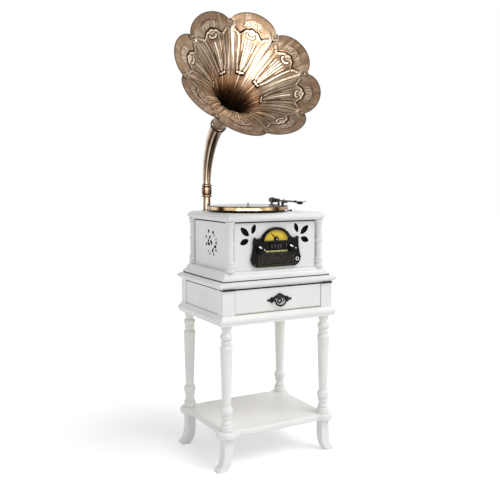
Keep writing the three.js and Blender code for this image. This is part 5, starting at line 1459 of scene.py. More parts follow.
make("jack_socket", front(turned(ring, 40), -0.1, (81, 23)), BODY, "black_plastic", "chrome_plate")
make("radio_screws", screws, BODY, "black_plastic", "moulded_grey_abs")

# %% [markdown]
# ## The drawer pull
#
# The pull is an open casting of varnished iron: an arch over curls and a heart, between two pointed wings,
# with a bow that hangs from two eyes. Cast strokes are a round section, flattened, carried along each line.

# %% Pull plate
low, high = span("pull_plate")
pull = np.array([(low[0] + high[0]) / 2, high[1], pivot("bail_swing")[2]])
FLAT = 0.62


def stroke(line, wide, height=2.4, close=False, steps=8):
    """A cast stroke of a width along a smooth line through a few points of the front view."""
    path = curve_through(line, steps, close)
    path = np.hstack([path, np.full((len(path), 1), height)])
    return tube(path, wide / 2, 12, (0, 0, 1), close, (1, FLAT))


strokes = stroke([(-30, 0), (-21, 7.5), (-10, 13), (0, 18.5), (10, 13), (21, 7.5), (30, 0)], 6.4)
strokes += stroke(
    [(0, 2), (-4.6, 1.6), (-7.2, -3), (-4.2, -8.5), (0, -12), (4.2, -8.5), (7.2, -3), (4.6, 1.6)], 4.6,
    close=True
)
for sign in (-1, 1):
    strokes += stroke(np.array([(2.5, 3), (4.6, 8), (9, 9.5), (12, 6), (10.4, 2.6)]) * (sign, 1), 4.0)
    strokes += stroke(np.array([(6, -7), (12, -7.5), (15.6, -3.5), (17.5, 3), (19, 8)]) * (sign, 1), 2.8, 2.0)
strokes += stroke([(0, 16), (0.6, 11), (0, 4)], 3.6)
WING = (
    (22, -3.5), (26, -9), (31, -9.6), (35.5, -5.4), (41, -3.4), (45.2, -3.2), (47, 0), (45.2, 3.2),
    (41, 3.4), (35.5, 5.4),
        (31, 9.6), (26, 9), (22, 3.5))
wing = curve_through(WING, 4, True)
dome = trace((0, 0), (0, 1.6, 0), (1.6, 3.4, 0.4))
for sign in (1, -1):
    line = wing * (sign, 1)
    strokes += shaped_board(line if sign > 0 else line[::-1], dome)
    stem = trace((0, 0), (3.0, 0, 0), (2.4, 6, 0), (0, 12.2, 3.2))  # a ball on a neck, bored for the bail
    strokes += at(turned(stem, 24), (sign * 25.5, 0, 0))
make("open_pull", upright(strokes, pull), "drawer", "black_iron", "varnished_iron", ["pull_plate"])

# %% Bail
swing = pivot("bail_swing")
BOW = (
    (-20, 1.5, 0), (-20.2, -4, 0), (-17, -12, 0), (-9, -17.8, 0), (0, -19.5, 0), (9, -17.8, 0),
    (17, -12, 0), (20.2, -4, 0), (20, 1.5, 0)
)
bow = curve_through(BOW, 6)
thick = 1.9 + 1.2 * np.sin(np.linspace(0, math.pi, len(bow))) ** 2
pins = [tube([(sign * 19.5, 0, 0), (sign * 27, 0, 0)], 1.5, 12, (0, 1, 0)) for sign in (-1, 1)]
drop = trace((0, -3.4), (2.6, -2.6, 0.3), (3.6, 0, 0.4), (2.6, 2.6, 0.4), (0, 3.4, 0.3))
laid = [(points[:, [2, 0, 1]] + (0, -19.5, 0), faces) for points, faces in turned(drop, 20)]
make(
    "bail_bow", upright(tube(bow, thick, 14, (0, 0, 1)) + pins[0] + pins[1] + laid, swing), "pull_bail",
    "black_iron", "varnished_iron", ["pull_bail"]
)

# %% [markdown]
# ## Finishes of the solids that stay
#
# Where a solid of the CAD model already has the right shape, it stays and only takes a finish. Its material
# goes into the slot of its object.

# %% Finishes for the remaining solids
SOLIDS = {
    "planed_poplar": ("drawer_side_left", "drawer_side_right", "drawer_back", "drawer_bottom", "case_board"),
    "sprayed_lacquer": ("apron_back", "back_panel"),
    "ground_steel": ("motor", "motor_pulley"),
    "drive_rubber": ("drive_belt",),
    "solder_mask": ("circuit_board",),
    "pressed_paper_cone": ("speaker_left", "speaker_right"),
    "moulded_black_abs": ("mains_inlet", "turntable_base", "speed_lever"),
}
for look, nodes in SOLIDS.items():
    for node in nodes:
        for slot in frame["nodes"][node].material_slots:
            slot.material = finishes[look]
print(sum(map(len, SOLIDS.values())), "solids took a finish")

# %% [markdown]
# ## The turntable
#
# The platter is a turned casting with two lips and a groove round its rim, driven by a belt from underneath.
# It is a profile carried round its spindle: radius times the cosine and the sine of the angle.

# %% Platter
low, high = span("platter")
hub = pivot("platter_spin")
radius = (high[0] - low[0]) / 2
mat_low, mat_high = span("platter_mat")
rim_tall = mat_low[2] - 0.3 - hub[2]
GROOVE_DEEP, LIP = 1.4, 0.9
profile = trace(
    (0, 0.3), (12, 0.3, 0), (12, rim_tall - 2.5, 0), (radius - 4, rim_tall - 2.5, 0), (radius - 4, 0, 0),
    (radius - LIP, 0, 0), (radius, LIP, 0.2), (radius - 0.2, 0.3 * rim_tall, 0),
    (radius - GROOVE_DEEP, 0.4 * rim_tall, -0.2), (radius - GROOVE_DEEP, 0.6 * rim_tall, -0.4),
    (radius - 0.2, 0.7 * rim_tall, 0), (radius, rim_tall - LIP, 0), (radius - LIP, rim_tall, 0.2),
    (0, rim_tall, 0),
)
platter = make(
    "gilt_platter", at(turned(profile, 160), hub), "platter", "platter_bronze", "gold_anodised_rim",
    ["platter"], 40
)
horn_metal.objects.link(platter)
top = high[2] - hub[2]
pin = trace((0, -20), (3.3, -20, 0), (3.6, -19.6, 0), (3.6, top - 3, 0), (0.8, top, 0.9), (0, top, 0))
make("spindle", at(turned(pin, 32), hub), "platter", "steel", "ground_steel")
print("platter", round(2 * radius), "mm across, its rim", round(rim_tall, 1), "mm tall")

# %% [markdown]
# The mat is smooth black rubber with a raised edge and shallow rings. Seen nearly along its top it reflects
# the pale room, as any smooth surface does at a glancing angle, and looks almost white.

# %% Rubber mat
RING_PITCH, RING_DEEP = 6.0, 0.1
thick = mat_high[2] - mat_low[2]
reach = (mat_high[0] - mat_low[0]) / 2
starts = np.arange(24, reach - 12, RING_PITCH)
shares = np.array([(0, 0), (0.1, 1), (0.3, 1), (0.4, 0)])
rings = np.stack(
    [
        starts[:, None] + RING_PITCH * shares[:, 0],
        thick - RING_DEEP * np.ones((len(starts), 1)) * shares[:, 1]
    ],
    -1
)
top = [
    (reach - 1.0, thick), (reach - 6, thick), (reach - 7, thick - 0.2), *rings.reshape(-1, 2)[::-1],
    (20, thick), (3.9, thick)
]
profile = np.array([(3.9, 0), (reach, 0), (reach, thick - 0.8), *top])
make(
    "grooved_mat", at(turned(profile, 128), (hub[0], hub[1], mat_low[2])), "platter", "rubber",
    "platter_rubber", ["platter_mat"], 30
)

# %% [markdown]
# ## The tonearm
#
# The arm is drawn lying along -y with its bearing at the origin, and then turned by its angle at rest and
# moved to its pivot. The weight at its tail balances the head, the yoke swings it, and the pin through the
# yoke's cheeks lets it lift. On its pedestal a rest with one prong holds it off the record.

# %% Pedestal and rest
ARM_REST = 7  # degrees from the cabinet's own direction
arm_pivot = pivot("arm_swing")
ARM_BLACK = ("black_plastic", "polished_black_abs")


def arm_place(parts, height=0.0):
    """Parts turned about the Z axis by the arm's angle at rest, and moved to its pivot."""
    cosine, sine = math.cos(math.radians(ARM_REST)), math.sin(math.radians(ARM_REST))
    turn = np.array([(cosine, -sine, 0), (sine, cosine, 0), (0, 0, 1)])
    return [(points @ turn + arm_pivot + (0, 0, height), faces) for points, faces in parts]


deck = span("arm_pedestal")[0][2] - arm_pivot[2]
foot = trace(
    (0, 0), (19.4, 0, 0), (20, 0.8, 0.2), (20, 3.6, 0), (18.6, 5.2, 0.6), (16, 6.4, -0.8), (15.4, 7.4, 0),
    (15.2, 12.6, 0), (14.2, 13.9, 0.4), (0, 13.9, 0),
)
post = trace(
    (0, 0), (6.4, 0, 0), (6.4, 1.6, 0.3), (4.4, 3.6, -0.6), (4.4, 24.6, 0), (5, 25.4, 0.2), (5, 29, 0),
    (4.2, 29.7, 0.3), (0, 29.7, 0)
)

parts = turned(foot, 64) + at(turned(post, 36), (0, -66, 0)) + box_part(9, 66, 5, 1.2, (0, -33, 0))
parts += box_part(24, 9, 5, 1.4, (6, -66, 24.7)) + at(
    turned(trace((0, 0), (1.5, 0, 0), (1.5, 14.4, 0), (0, 15.6, 0.8)), 20), (4.9, -66, 25)
)
make("arm_stand", arm_place(parts, deck), BODY, *ARM_BLACK, ["arm_pedestal"])

# %% Yoke
BEARING_HIGH, YOKE_FOOT = 33, 14  # above the deck
rise = BEARING_HIGH - YOKE_FOOT
disc = trace((0, 0.3), (15.6, 0.3, 0), (16, 0.8, 0.1), (16, 3.2, 0), (15, 4, 0.3), (0, 4, 0))
parts = turned(disc, 56)
for sign in (-1, 1):
    parts += box_part(4, 12, rise + 5.7, 1.0, (sign * 14, 0, 0.3))
make("yoke", arm_place(parts, -rise), "arm_yoke", *ARM_BLACK, ["arm_yoke"])

# %% Arm tube, bearing and counterweight
def lying(profile, sides, start):
    """A turned profile laid along -y from a start: its height becomes the way towards the head."""
    return [
        (points[:, [0, 2, 1]] * (1, -1, 1) + (0, start, 0), faces)
        for points, faces in turned(profile, sides)
    ]


shaft = trace(
    (0, -38), (2.6, -38, 0), (3, -37.4, 0), (3, 12, 0), (4.3, 13, 0.2), (4.3, 17, 0), (3, 18, 0),
    (2.9, 166, 0), (4.2, 167.5, 0), (4.4, 174, 0.2), (3.4, 176, 0), (3.2, 180, 0), (0, 180, 0),
)
parts = lying(shaft, 32, 0) + box_part(14, 20, 14, 2.2, (0, 0, -7))
parts += [
    (points[:, [2, 0, 1]], faces)
    for points, faces in turned(trace((0, -14), (2, -14, 0), (2, 14, 0), (0, 14, 0)), 20)
]
make("arm_and_bearing", arm_place(parts), "tonearm", "arm_tube", "black_anodised_arm", ["arm_tube"])
weight = trace(
    (3.3, 0), (8.4, 0, 0), (10, 1.6, 0.5), (10, 6, 0), (9.2, 6.6, 0), (9.2, 7.4, 0), (10, 8, 0),
    (10, 18.4, 0), (8.4, 20, 0.5), (3.3, 20, 0),
)
make("balance_weight", arm_place(lying(weight, 48, 38)), "tonearm", *ARM_BLACK, ["counterweight"])

# %% Head with its cartridge and finger lift
HEAD_FROM = 180.3  # millimetres from the bearing
shell = np.array([(-5.4, 0), (-9, -12), (-9, -38.6), (-7.6, -40), (7.6, -40), (9, -38.6), (9, -12), (5.4, 0)])
plate = at(shaped_board(shell, soft_edge(3, 0.8, 4)), (0, 0, -3))
cartridge = box_part(12, 24, 6.6, 1.4, (0, -24.8, -9.4))
stylus = at(turned(trace((0, -2), (0.5, -2, 0), (1.3, 2, 0), (0, 2, 0)), 16), (0, -32, -9.5))
lift = tube(
    [(8, -32, -1.4), (12, -32, -1.2), (16, -32.5, 0), (19.4, -33.4, 2)], 1.1, 12, (0, 1, 0),
    squeeze=(1, 0.7)
)
screws = [
    part for x in (-3.5, 3.5)
    for part in at(turned(trace((0, 0), (1.7, 0, 0), (1.5, 0.9, 0.2), (0, 1.1, 0)), 20), (x, -24, 0))
]
parts = plate + cartridge + stylus + lift + screws
make(
    "head_and_cartridge", arm_place(at(parts, (0, -HEAD_FROM, 1.5))), "tonearm", "black_plastic",
    "moulded_black_abs", ["headshell"]
)
print("the arm reaches", round(HEAD_FROM + 40), "mm from its bearing")

# %% [markdown]
# ## The horn
#
# The horn is the object's showpiece: a tube that swivels in a column, and a bell pressed into eight petals
# with a rosette between each two. All its metal is darkened and rubbed back, so each piece carries two
# values at every point for the finish to read: its tone, from 0 dark to 1 bright, which holds the rubbed
# patina together with painted highlights, painted shade and painted reflections, and a position along the
# rubbing strokes. Painting an image would be another way, but values on the mesh follow the pressed shapes
# exactly.

# %% Values for the rubbed finish
def rub(made, patina_and_painted_light, strokes):
    """Stores the tone, patina and painted light together, and the place along the strokes, in metres,
    at each point of a piece.
    """
    level = made.data.attributes.new("patina_and_painted_light", "FLOAT", "POINT")
    level.data.foreach_set("value", np.clip(patina_and_painted_light, 0, 1).ravel())
    place = made.data.attributes.new("strokes", "FLOAT_VECTOR", "POINT")
    place.data.foreach_set("vector", (np.asarray(strokes, float) * MM).ravel())
    horn_metal.objects.link(made)


def strokes_round(around, along, reach):
    """A place on a drum of one radius: strokes run along it, and close on themselves all round."""
    around, along = np.broadcast_arrays(around, along)
    return np.stack([reach * np.cos(around), reach * np.sin(around), along], -1)


def painted_tube_reflections(around):
    """The tone round a tube, seamed and polished lengthwise by hand: light and dark bands, each a bell curve
    at one angle, painted as reflections of bright and dark surroundings, and a fine double line where its
    seam was filled."""
    bands = (
        (3.0, 0.34, 0.24), (2.4, 0.2, -0.26), (2.05, 0.13, 0.3), (1.8, 0.1, -0.34), (1.55, 0.12, 0.24),
        (0.9, 0.3, -0.14), (4.4, 0.3, 0.14), (5.3, 0.3, -0.16)
    )
    return 0.47 + sum(rise * np.exp(-(((around - place) / width) ** 2)) for place, width, rise in bands)


# %% [markdown]
# The column and the elbow are seamed tubes of the same metal. The column's collar has two rings with a flat
# band between them. It is turned, so a profile carried round its axis gives it.

# %% Horn column
horn_turn = pivot("horn_swivel")
HEADING, TILT = math.radians(-95.2), math.radians(29.2)
TUBE_RADIUS, END_RADIUS, BEND, WALL, SPIGOT = 13, 24, 224, 1.6, 40
low, high = span("horn_column")
height = high[2] - low[2]
collar = (high[0] - low[0]) / 2
bore = TUBE_RADIUS - 2
column = trace(
    (bore, 0), (15.6, 0, 0), (16, 0.4, 0), (16, 1.6, 0), (15.4, 2.2, 0), (TUBE_RADIUS, 4.4, -0.5),
    (TUBE_RADIUS, 0.48 * height, 0), (collar - 1.5, 0.505 * height, -0.4),
    (collar - 1.5, 0.565 * height, 1.4), (15, 0.585 * height, -0.3), (15, 0.6 * height, 0),
    (collar - 1, 0.615 * height, 0.3), (collar - 1, 0.85 * height, 0), (15, 0.87 * height, 0),
    (15, 0.885 * height, 0), (collar - 1.5, 0.9 * height, -0.2), (collar - 1.5, 0.95 * height, 1.4),
    (TUBE_RADIUS + 1, 0.97 * height, -0.3), (TUBE_RADIUS + 1, height, 0), (bore, height, 0),
)
made = make(
    "horn_column_turned", at(turned(column, 56), (*horn_turn[:2], low[2])), "horn", "horn_bronze",
    "rubbed_bronze_tube", ["horn_column"], 40
)
rise = np.repeat(column[:, 1], 56)
grooves = sum(
    np.exp(-(((rise / height - share) / 0.012) ** 2)) for share in (0.5, 0.59, 0.61, 0.865, 0.885, 0.97)
)
around = np.tile(np.linspace(0, TURN, 56, endpoint=False), len(column))
# Bands of painted reflection all round the column, and darker in its grooves.
rub(made, painted_tube_reflections(around) - 0.4 * grooves, strokes_round(around, 0.04 * rise, 18))
print("column", round(height), "mm tall")

# %% [markdown]
# The elbow is a tube whose middle line is a round arc and whose radius grows evenly, as a sweep along a curve
# with a taper would be. Here the rings are worked out directly, so the inside gets the same form.

# %% Horn elbow
forward = np.array([math.cos(HEADING), math.sin(HEADING), 0])
aside = np.array([-math.sin(HEADING), math.cos(HEADING), 0])
axis = np.array([math.cos(HEADING) * math.cos(TILT), math.sin(HEADING) * math.cos(TILT), math.sin(TILT)])
up = np.array([0.0, 0, 1])
bend_angle = math.pi / 2 - TILT
ELBOW_SIDES = 56


def elbow_tube():
    """Rings along a round arc: the middle goes forward by the bend times 1 minus the cosine and up by the
    bend times the sine, and the radius grows evenly. A second skin, a wall's thickness inside, closes
    it."""
    share = np.linspace(0, 1, 61)
    angle = share * bend_angle
    centre = BEND * (1 - np.cos(angle))[:, None] * forward + (0.3 + BEND * np.sin(angle))[:, None] * up
    lean = -np.cos(angle)[:, None] * forward + np.sin(angle)[:, None] * up
    radius = TUBE_RADIUS + (END_RADIUS - TUBE_RADIUS) * share
    spigot = (TUBE_RADIUS - 2) * math.cos(math.pi / 14) - 0.3
    centre = np.vstack([(0, 0, -SPIGOT), (0, 0, 0.3), centre])
    lean = np.vstack([-forward, -forward, lean])
    reach = np.concatenate([[spigot, spigot], radius])
    around = np.linspace(0, TURN, ELBOW_SIDES, endpoint=False)[None, :, None]

    def skin(reach):
        """A ring of points about each centre, in the plane across the bend."""
        ring = np.cos(around) * aside - np.sin(around) * lean[:, None]
        return centre[:, None] + reach[:, None, None] * ring

    points = np.concatenate([skin(reach), skin(reach - WALL)[::-1]])
    along = np.concatenate([[-SPIGOT, 0], share * BEND * bend_angle])
    return points, np.concatenate([along, along[::-1]])


points, along = elbow_tube()
made = make(
    "bent_elbow",
    at([(points.reshape(-1, 3), [quads(*points.shape[:2], close_rows=True)[:, ::-1]])], horn_turn), "horn",
    "horn_bronze", "rubbed_bronze_tube", ["horn_elbow"], 40, False
)
around = np.linspace(0, TURN, ELBOW_SIDES, endpoint=False)[None, :]
# Bands of painted reflection along the elbow.
rub(made, painted_tube_reflections(around) + 0 * along[:, None], strokes_round(around, 0.04 * along[:, None], 22))
print("elbow bends by", round(math.degrees(bend_angle), 1), "degrees")

# %% [markdown]
# At the elbow's end sits a thin black ring, and a short faceted collar of bronze takes the bell. Eight flat
# sides give the collar its facets, which a finely turned one would not have, and the facets are coloured
# lighter and darker in turn as painted shading.

# %% Neck
neck_rise = 0.3 + BEND * math.sin(bend_angle)
neck_start = horn_turn + BEND * (1 - math.cos(bend_angle)) * forward + neck_rise * up
up_axis = np.cross(axis, aside)
NECK_LENGTH, RING_RADIUS, FACETS = 9, 28.2, 8


def along_axis(parts, place):
    """Turned parts laid so that their Z axis runs along the horn's own axis from a place."""
    frame_axes = np.stack([aside, up_axis, axis])
    return [(points @ frame_axes + place, faces) for points, faces in parts]


ring = trace(
    (24.3, -2.2), (RING_RADIUS - 1.4, -2.2, 0), (RING_RADIUS - 0.6, -1.4, 0.3),
    (RING_RADIUS - 0.6, 3.8, 0.3), (RING_RADIUS - 1.4, 4.6, 0.3), (24.3, 4.6, 0)
)
make(
    "neck_band", along_axis(turned(ring, 64), neck_start), "horn", "black_iron", "varnished_iron",
    ["neck_ring"], 40
)
facet = trace(
    (17.8, -11.5), (19.8, -11.5, 0), (21.4, 0.4, 0), (24, 0.6, 0), (24, 4.9, 0), (26.6, 4.9, 0),
    (25.4, NECK_LENGTH - 0.6, 0), (24.8, NECK_LENGTH - 0.1, 0), (20, NECK_LENGTH - 0.1, 0),
)
made = make(
    "neck_collar", along_axis(turned(facet, FACETS), neck_start), "horn", "horn_bronze", "antiqued_bronze",
    ["neck_ring"], 20
)
# Painted shading: lighter and darker facets in turn.
facet_painted_shading = np.tile(0.5 + 0.26 * np.cos(np.arange(FACETS) * math.pi), len(facet))
rub(made, facet_painted_shading, turned(facet, FACETS)[0][0])

# %% [markdown]
# The bell is one sheet of metal: a cone that flares, with eight arched petals. Its meridian is the same power
# curve as in the solid, so the rim and the seams lie where the solid has them.

# %% The bell's sheet
PETALS = 8
NECK_RADIUS, SEAM_RADIUS, BELL_LENGTH, TIP_OUT, TIP_RISE = 22, 205.4, 270, 31.6, 23
CONE, FLARE, ARCH, SEAM_TURN = 0.2, 3.4, 0.62, math.radians(4.8)
bell_start = neck_start + (NECK_LENGTH + 0.3) * axis


def flare(share):
    """A cone for a fifth of the way out, and a power curve for the rest."""
    return CONE * share + (1 - CONE) * share**FLARE


def bell_surface(petal, across, share, offset):
    """The bell's sheet: across runs from -1 to 1 over one petal, share from the neck to the rim. The arch
    of a petal, 1 minus across squared to the power 0.62, lengthens and widens it in its middle."""
    arch = np.clip(1 - across**2, 0, None) ** ARCH
    reach = SEAM_RADIUS + TIP_OUT * arch - NECK_RADIUS
    height = BELL_LENGTH + TIP_RISE * arch
    step = 0.01
    behind = np.clip(share - step, 0, None)
    slope = np.arctan2((flare(behind + step) - flare(behind)) * reach, step * height)
    radius = NECK_RADIUS + reach * flare(share) + offset * np.cos(slope)
    z = height * share - offset * np.sin(slope) * np.clip(share / (4 * step), 0, 1)
    angle = TURN * (petal + 0.5 + across / 2) / PETALS + SEAM_TURN
    across, along = radius * np.cos(angle), radius * np.sin(angle)
    return across[..., None] * aside + along[..., None] * up_axis + z[..., None] * axis


share_table = np.linspace(0, 1, 400)
meridian = np.stack(
    [
        NECK_RADIUS + (SEAM_RADIUS + TIP_OUT - NECK_RADIUS) * flare(share_table),
        (BELL_LENGTH + TIP_RISE) * share_table
    ],
    -1
)
walk = np.concatenate([[0], np.cumsum(np.linalg.norm(np.diff(meridian, axis=0), axis=1))])
depth_table = walk[-1] - walk  # millimetres back from the rim, along the middle of a petal


def share_at(depth):
    """How far out a point lies, as a share, from its depth behind the rim."""
    return np.interp(depth, depth_table[::-1], share_table[::-1])


def half_width(depth):
    """Half a petal's width at a depth: its radius there times an eighth of half a turn."""
    return np.interp(depth, depth_table[::-1], meridian[::-1, 0]) * math.pi / PETALS


print("a petal is", round(walk[-1]), "mm long from the neck to the rim")

# %% [markdown]
# The ornament is drawn as a chaser would lay it out: lines on half a petal, in millimetres from its middle
# and behind the rim, mirrored to the other half. Each line is raised and coloured bright, with a dark band
# on both sides: the patina where the polish never reaches, and with it painted highlight and painted shade,
# which the plain white surroundings would not give the pressed lines. A smooth outer band, a patch of matted
# ground, a wavy bracket, a small curl, a fan of flutes inside a leaf's outline that curls over at the
# rosettes, a crossbar, and a stem down to the throat.

# %% The ornament of one petal
OUTLINE = [
    (9, 193), (13, 181), (20, 159), (25, 133), (30, 106), (35, 87), (39, 74), (44, 64), (51, 56), (58, 50),
    (63, 43)
]
SECOND = [(15, 164), (20, 137), (25, 108), (30, 88), (34, 75), (38, 67), (43, 63), (47, 65), (46, 69)]
BRACKET = [(0, 50), (6, 52), (12, 55), (19, 54), (25, 57), (30, 62), (36, 64)]
CURL = [(13, 70), (12, 75), (7, 79), (0, 80)]
LITTLE_CURL = [(3, 66), (7, 64), (12, 66)]
CROSSBAR = [(0, 194), (5, 193.5), (9.5, 191.5)]
RIB_EDGE = [(27, 178), (37, 142), (48, 110), (57, 85), (62, 66)]


def near(line, wide, deep):
    """The distance from each point to a line of points: to its nearest stretch, straight between two of
    them."""
    line = np.asarray(line, float)
    begin, run = line[:-1], np.diff(line, axis=0)
    point = np.stack([wide, deep], -1)[..., None, :]
    share = np.clip(((point - begin) * run).sum(-1) / (run**2).sum(-1), 0, 1)
    return np.linalg.norm(point - begin - share[..., None] * run, axis=-1).min(-1)


def ramp(value, start, length):
    """0 up to the start, 1 from a length past it, and straight in between."""
    return np.clip((value - start) / length, 0, 1)


def fall(value, stop, length):
    """1 until a length short of the stop, 0 from the stop on, and straight in between."""
    return np.clip((stop - value) / length, 0, 1)


def petal_relief(across, depth):
    """The height in millimetres, towards the listener, and the finish's tone, patina and painted light
    together, over one petal.
    """
    across, depth = np.broadcast_arrays(across, depth)
    half = half_width(depth)
    wide = abs(across) * half
    # Darker towards the throat: the dark patina there together with painted shade deep in the bell.
    tone = 0.47 + 0.05 * ramp(depth, 80, 60) - 0.22 * ramp(depth, 185, 110)
    height = np.zeros(across.shape)

    def ridge(distance, width):
        """A bell curve of the distance."""
        return np.exp(-((distance / width) ** 2))

    for line, width, proud, bright in (
        (OUTLINE, 1.8, 1.3, 0.3), (SECOND, 1.5, 0.8, 0.2), (CURL, 1.9, 1.5, 0.45),
        (LITTLE_CURL, 1.6, 0.8, 0.25), (CROSSBAR, 2.4, 2.2, 0.6), (RIB_EDGE, 1.6, 0.5, 0.12),
    ):
        away = near(line, wide, depth)
        height = height + proud * ridge(away, width)
        # Each line is bright as rubbed bronze and as a painted highlight, with a dark band beside it, patina
        # and painted shade.
        worn = bright * np.clip(0.35 + (depth - 50) / 50, 0.35, 1) if line is OUTLINE else bright
        tone = tone + worn * ridge(away, width) - 0.9 * bright * ridge(away - 2.4 * width, 0.95 * width)
    # The bracket is a deep cut, coloured dark as painted shade under it, with a bright raised edge towards
    # the throat, and a polished place below it.
    cut, raised = near(BRACKET, wide, depth), near([(x, d + 5.4) for x, d in BRACKET], wide, depth)
    height = height - 1.8 * ridge(cut, 2.6) + 1.5 * ridge(raised, 2.4)
    tone = tone - 0.8 * ridge(cut, 2.7) + 0.3 * ridge(raised, 1.9)
    tone = tone + 0.16 * ridge(wide, 26) * ridge(depth - 67, 11)
    # The fan of flutes: ridges a share of the outline's width apart, fading out below the curl.
    edge = np.interp(depth, [d for _, d in OUTLINE[::-1]], [x for x, _ in OUTLINE[::-1]])
    flutes = np.cos(TURN * wide / np.clip(edge, 6, None) * 3.4 / 1.05)
    inside = np.clip((edge - wide - 3) / 4, 0, 1)
    inside = inside * ramp(depth, 86, 8) * fall(depth, 190, 24)
    height = height + 0.7 * flutes * inside
    tone = tone + (0.14 + 0.05 * np.sin(depth * 0.21 + wide)) * flutes * inside
    slot = ridge(wide - 0.62 * edge, 2.2)
    slot = slot * ramp(depth, 120, 8) * fall(depth, 174, 12)
    tone = tone - 0.38 * slot
    # The stem, double above the crossbar and single from there to the throat.
    above = ridge(wide - 1.6, 1.2) * ramp(depth, 92, 6) * (depth < 193)
    below = ridge(wide, 1.7) * (depth >= 193) * fall(depth, 300, 90)
    height = height + 0.8 * (above + below)
    middle_line = 0.16 * ridge(wide - 5, 2.0) * (depth > 193) * fall(depth, 300, 60)
    tone = tone + 0.34 * above + 0.42 * below - middle_line
    # A broad smooth rib runs from each rosette to the throat, coloured a little lighter as a painted
    # highlight, with the seam as a fine dark line on it.
    seam = half - wide
    rib = ridge(seam, 0.3 * half) * ramp(depth, 18, 12) * np.clip((walk[-1] - depth) / 60, 0, 1)
    height = height + 2.6 * rib
    tone = tone + 0.10 * rib - 0.34 * ridge(seam, 1.5) * ramp(depth, 10, 10)
    # Matted ground under the outer band: small punched marks about 5 mm apart.
    bow = 0.006 * wide**2
    patch = fall(wide, 34, 4) * np.clip((depth - 24 - bow) / 3, 0, 1) * fall(depth, 49, 4)
    mat = np.sin(wide * 0.8 + 1.7 * np.sin(depth * 0.7)) * np.sin(depth * 0.9 + 1.4 * np.sin(across * 21))
    height = height + patch * (0.7 * mat - 0.6)
    tone = tone + patch * (0.27 * mat + 0.05)
    edge_marks = 0.6 + 0.4 * np.sin(across * 37 + 2 * np.sin(across * 17))
    rim_marks = 0.34 * edge_marks * ridge(depth - 23 - bow, 2.6)
    tone = tone - rim_marks * fall(wide, 36, 4)
    # The rolled rim stays dark.
    tone = tone - 0.3 * ridge(depth, 2.2)
    return height, tone


# %% The bell's mesh
COLUMNS = 80
FIT = 0.9965  # keeps the rolled rim inside the solid's own box
inner_depth = np.concatenate([np.linspace(0, 204, 94), np.linspace(204, walk[-1], 14)[1:]])[::-1]
outer_depth = np.linspace(0, walk[-1], 40)[::-1]
columns = np.linspace(-1, 1, COLUMNS, endpoint=False)[None, :]


def petal_bell():
    """The inner skin follows the sheet and its relief, the outer skin the same a wall behind, and both meet
    in a rolled rim."""
    petal = np.repeat(np.arange(PETALS), COLUMNS)[None, :]
    across = np.tile(columns, (1, PETALS))
    inner_height, inner_tone = (
        np.tile(each, (1, PETALS)) for each in petal_relief(columns, inner_depth[:, None])
    )
    outer_height, _ = (np.tile(each, (1, PETALS)) for each in petal_relief(columns, outer_depth[:, None]))
    inner_share, outer_share = share_at(inner_depth)[:, None], share_at(outer_depth)[:, None]
    inner = bell_surface(petal, across, inner_share, -0.8 - 0.8 * inner_height)
    outer = bell_surface(petal, across, outer_share, 0.8 - 0.5 * outer_height)
    roll = np.linspace(0, math.pi, 7)[1:-1, None]
    lip = bell_surface(
        petal, across, np.ones((5, 1)), -1.7 * np.cos(roll)
    ) + (1.5 * np.sin(roll))[..., None] * axis
    points = FIT * np.concatenate([outer, lip[::-1], inner[::-1]])
    tone = np.concatenate([np.full(outer.shape[:2], 0.44), np.full(lip.shape[:2], 0.16), inner_tone[::-1]])
    depth = np.concatenate([outer_depth, np.zeros(5), inner_depth[::-1]])[:, None]
    around = TURN * (petal + 0.5 + across / 2) / PETALS
    return points, tone, strokes_round(around, 0.1 * depth, 150)


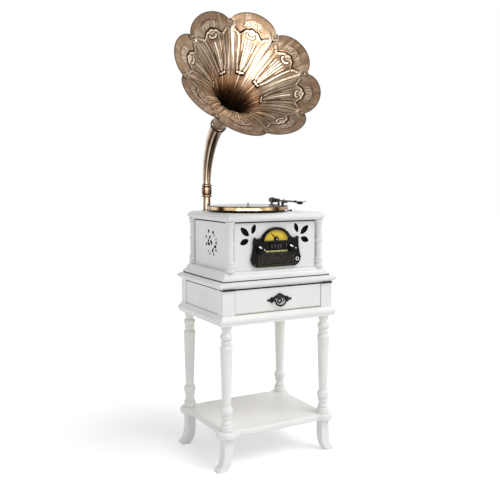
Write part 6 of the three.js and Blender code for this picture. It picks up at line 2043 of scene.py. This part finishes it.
points, tone, strokes = petal_bell()
made = make(
    "petal_bell", at([(points.reshape(-1, 3), [quads(*points.shape[:2], close_rows=True)])], bell_start),
            "horn", "horn_bronze", "antiqued_bronze", ["horn_bell"], 60, False)
rub(made, tone, strokes)
print("the bell has", len(made.data.polygons), "faces")

# %% [markdown]
# A rosette covers each seam's end: a turned button with two rings round a dot. It is tilted as the sheet is
# there, so it looks towards the listener.

# %% Rosettes
ROSETTE_RADIUS, ROSETTE_SHARE, ROSETTE_SIDES = 12.3, 0.996, 40
button = trace(
    (0, -4), (ROSETTE_RADIUS - 2.4, -4, 0), (ROSETTE_RADIUS, -0.8, 0), (ROSETTE_RADIUS, 1.6, 0),
    (9.6, 1.6, 1.4), (8.6, 0.7, 0), (7.4, 0.9, 0),
    (5.2, 0.9, 1.2), (4.4, 0.6, 0), (3.2, 0.7, 0), (0, 2.6, 0.4),
)
rosette_points, rosette_faces = turned(button, ROSETTE_SIDES)[0]
button_radius = np.linalg.norm(rosette_points[:, :2], axis=1)
# Bright beads and dark hollows: rubbed patina together with painted highlight and painted shade.
button_tone = 0.3 + 0.3 * (button_radius < 2.6)
for ring, width, bright in ((10.9, 1.1, 0.34), (6.3, 0.9, 0.34), (8.3, 0.9, -0.32), (4, 0.8, -0.3)):
    button_tone = button_tone + bright * np.exp(-(((button_radius - ring) / width) ** 2))
LAST_PART = 0.022  # of the bell's length, over which the sheet's slope at the rim is taken
slope = math.atan2((1 - flare(1 - LAST_PART)) * (SEAM_RADIUS - NECK_RADIUS), LAST_PART * BELL_LENGTH)
for petal in range(PETALS):
    here = bell_surface(np.array(petal), np.array(-1.0), np.array(ROSETTE_SHARE), np.array(-3.6))
    outward = here - here @ axis * axis
    outward /= np.linalg.norm(outward)
    facing = math.sin(slope) * axis - math.cos(slope) * outward
    tangent = np.cross(axis, outward)
    frame_axes = np.stack([tangent, np.cross(facing, tangent), facing])
    made = make(f"rosette_{petal + 1}", [(rosette_points @ frame_axes + here + bell_start, rosette_faces)],
                "horn", "horn_bronze", "antiqued_bronze", (), 40, False)
    rub(made, button_tone, rosette_points)
print("rosettes tilt by", round(math.degrees(slope)), "degrees from the horn's axis")
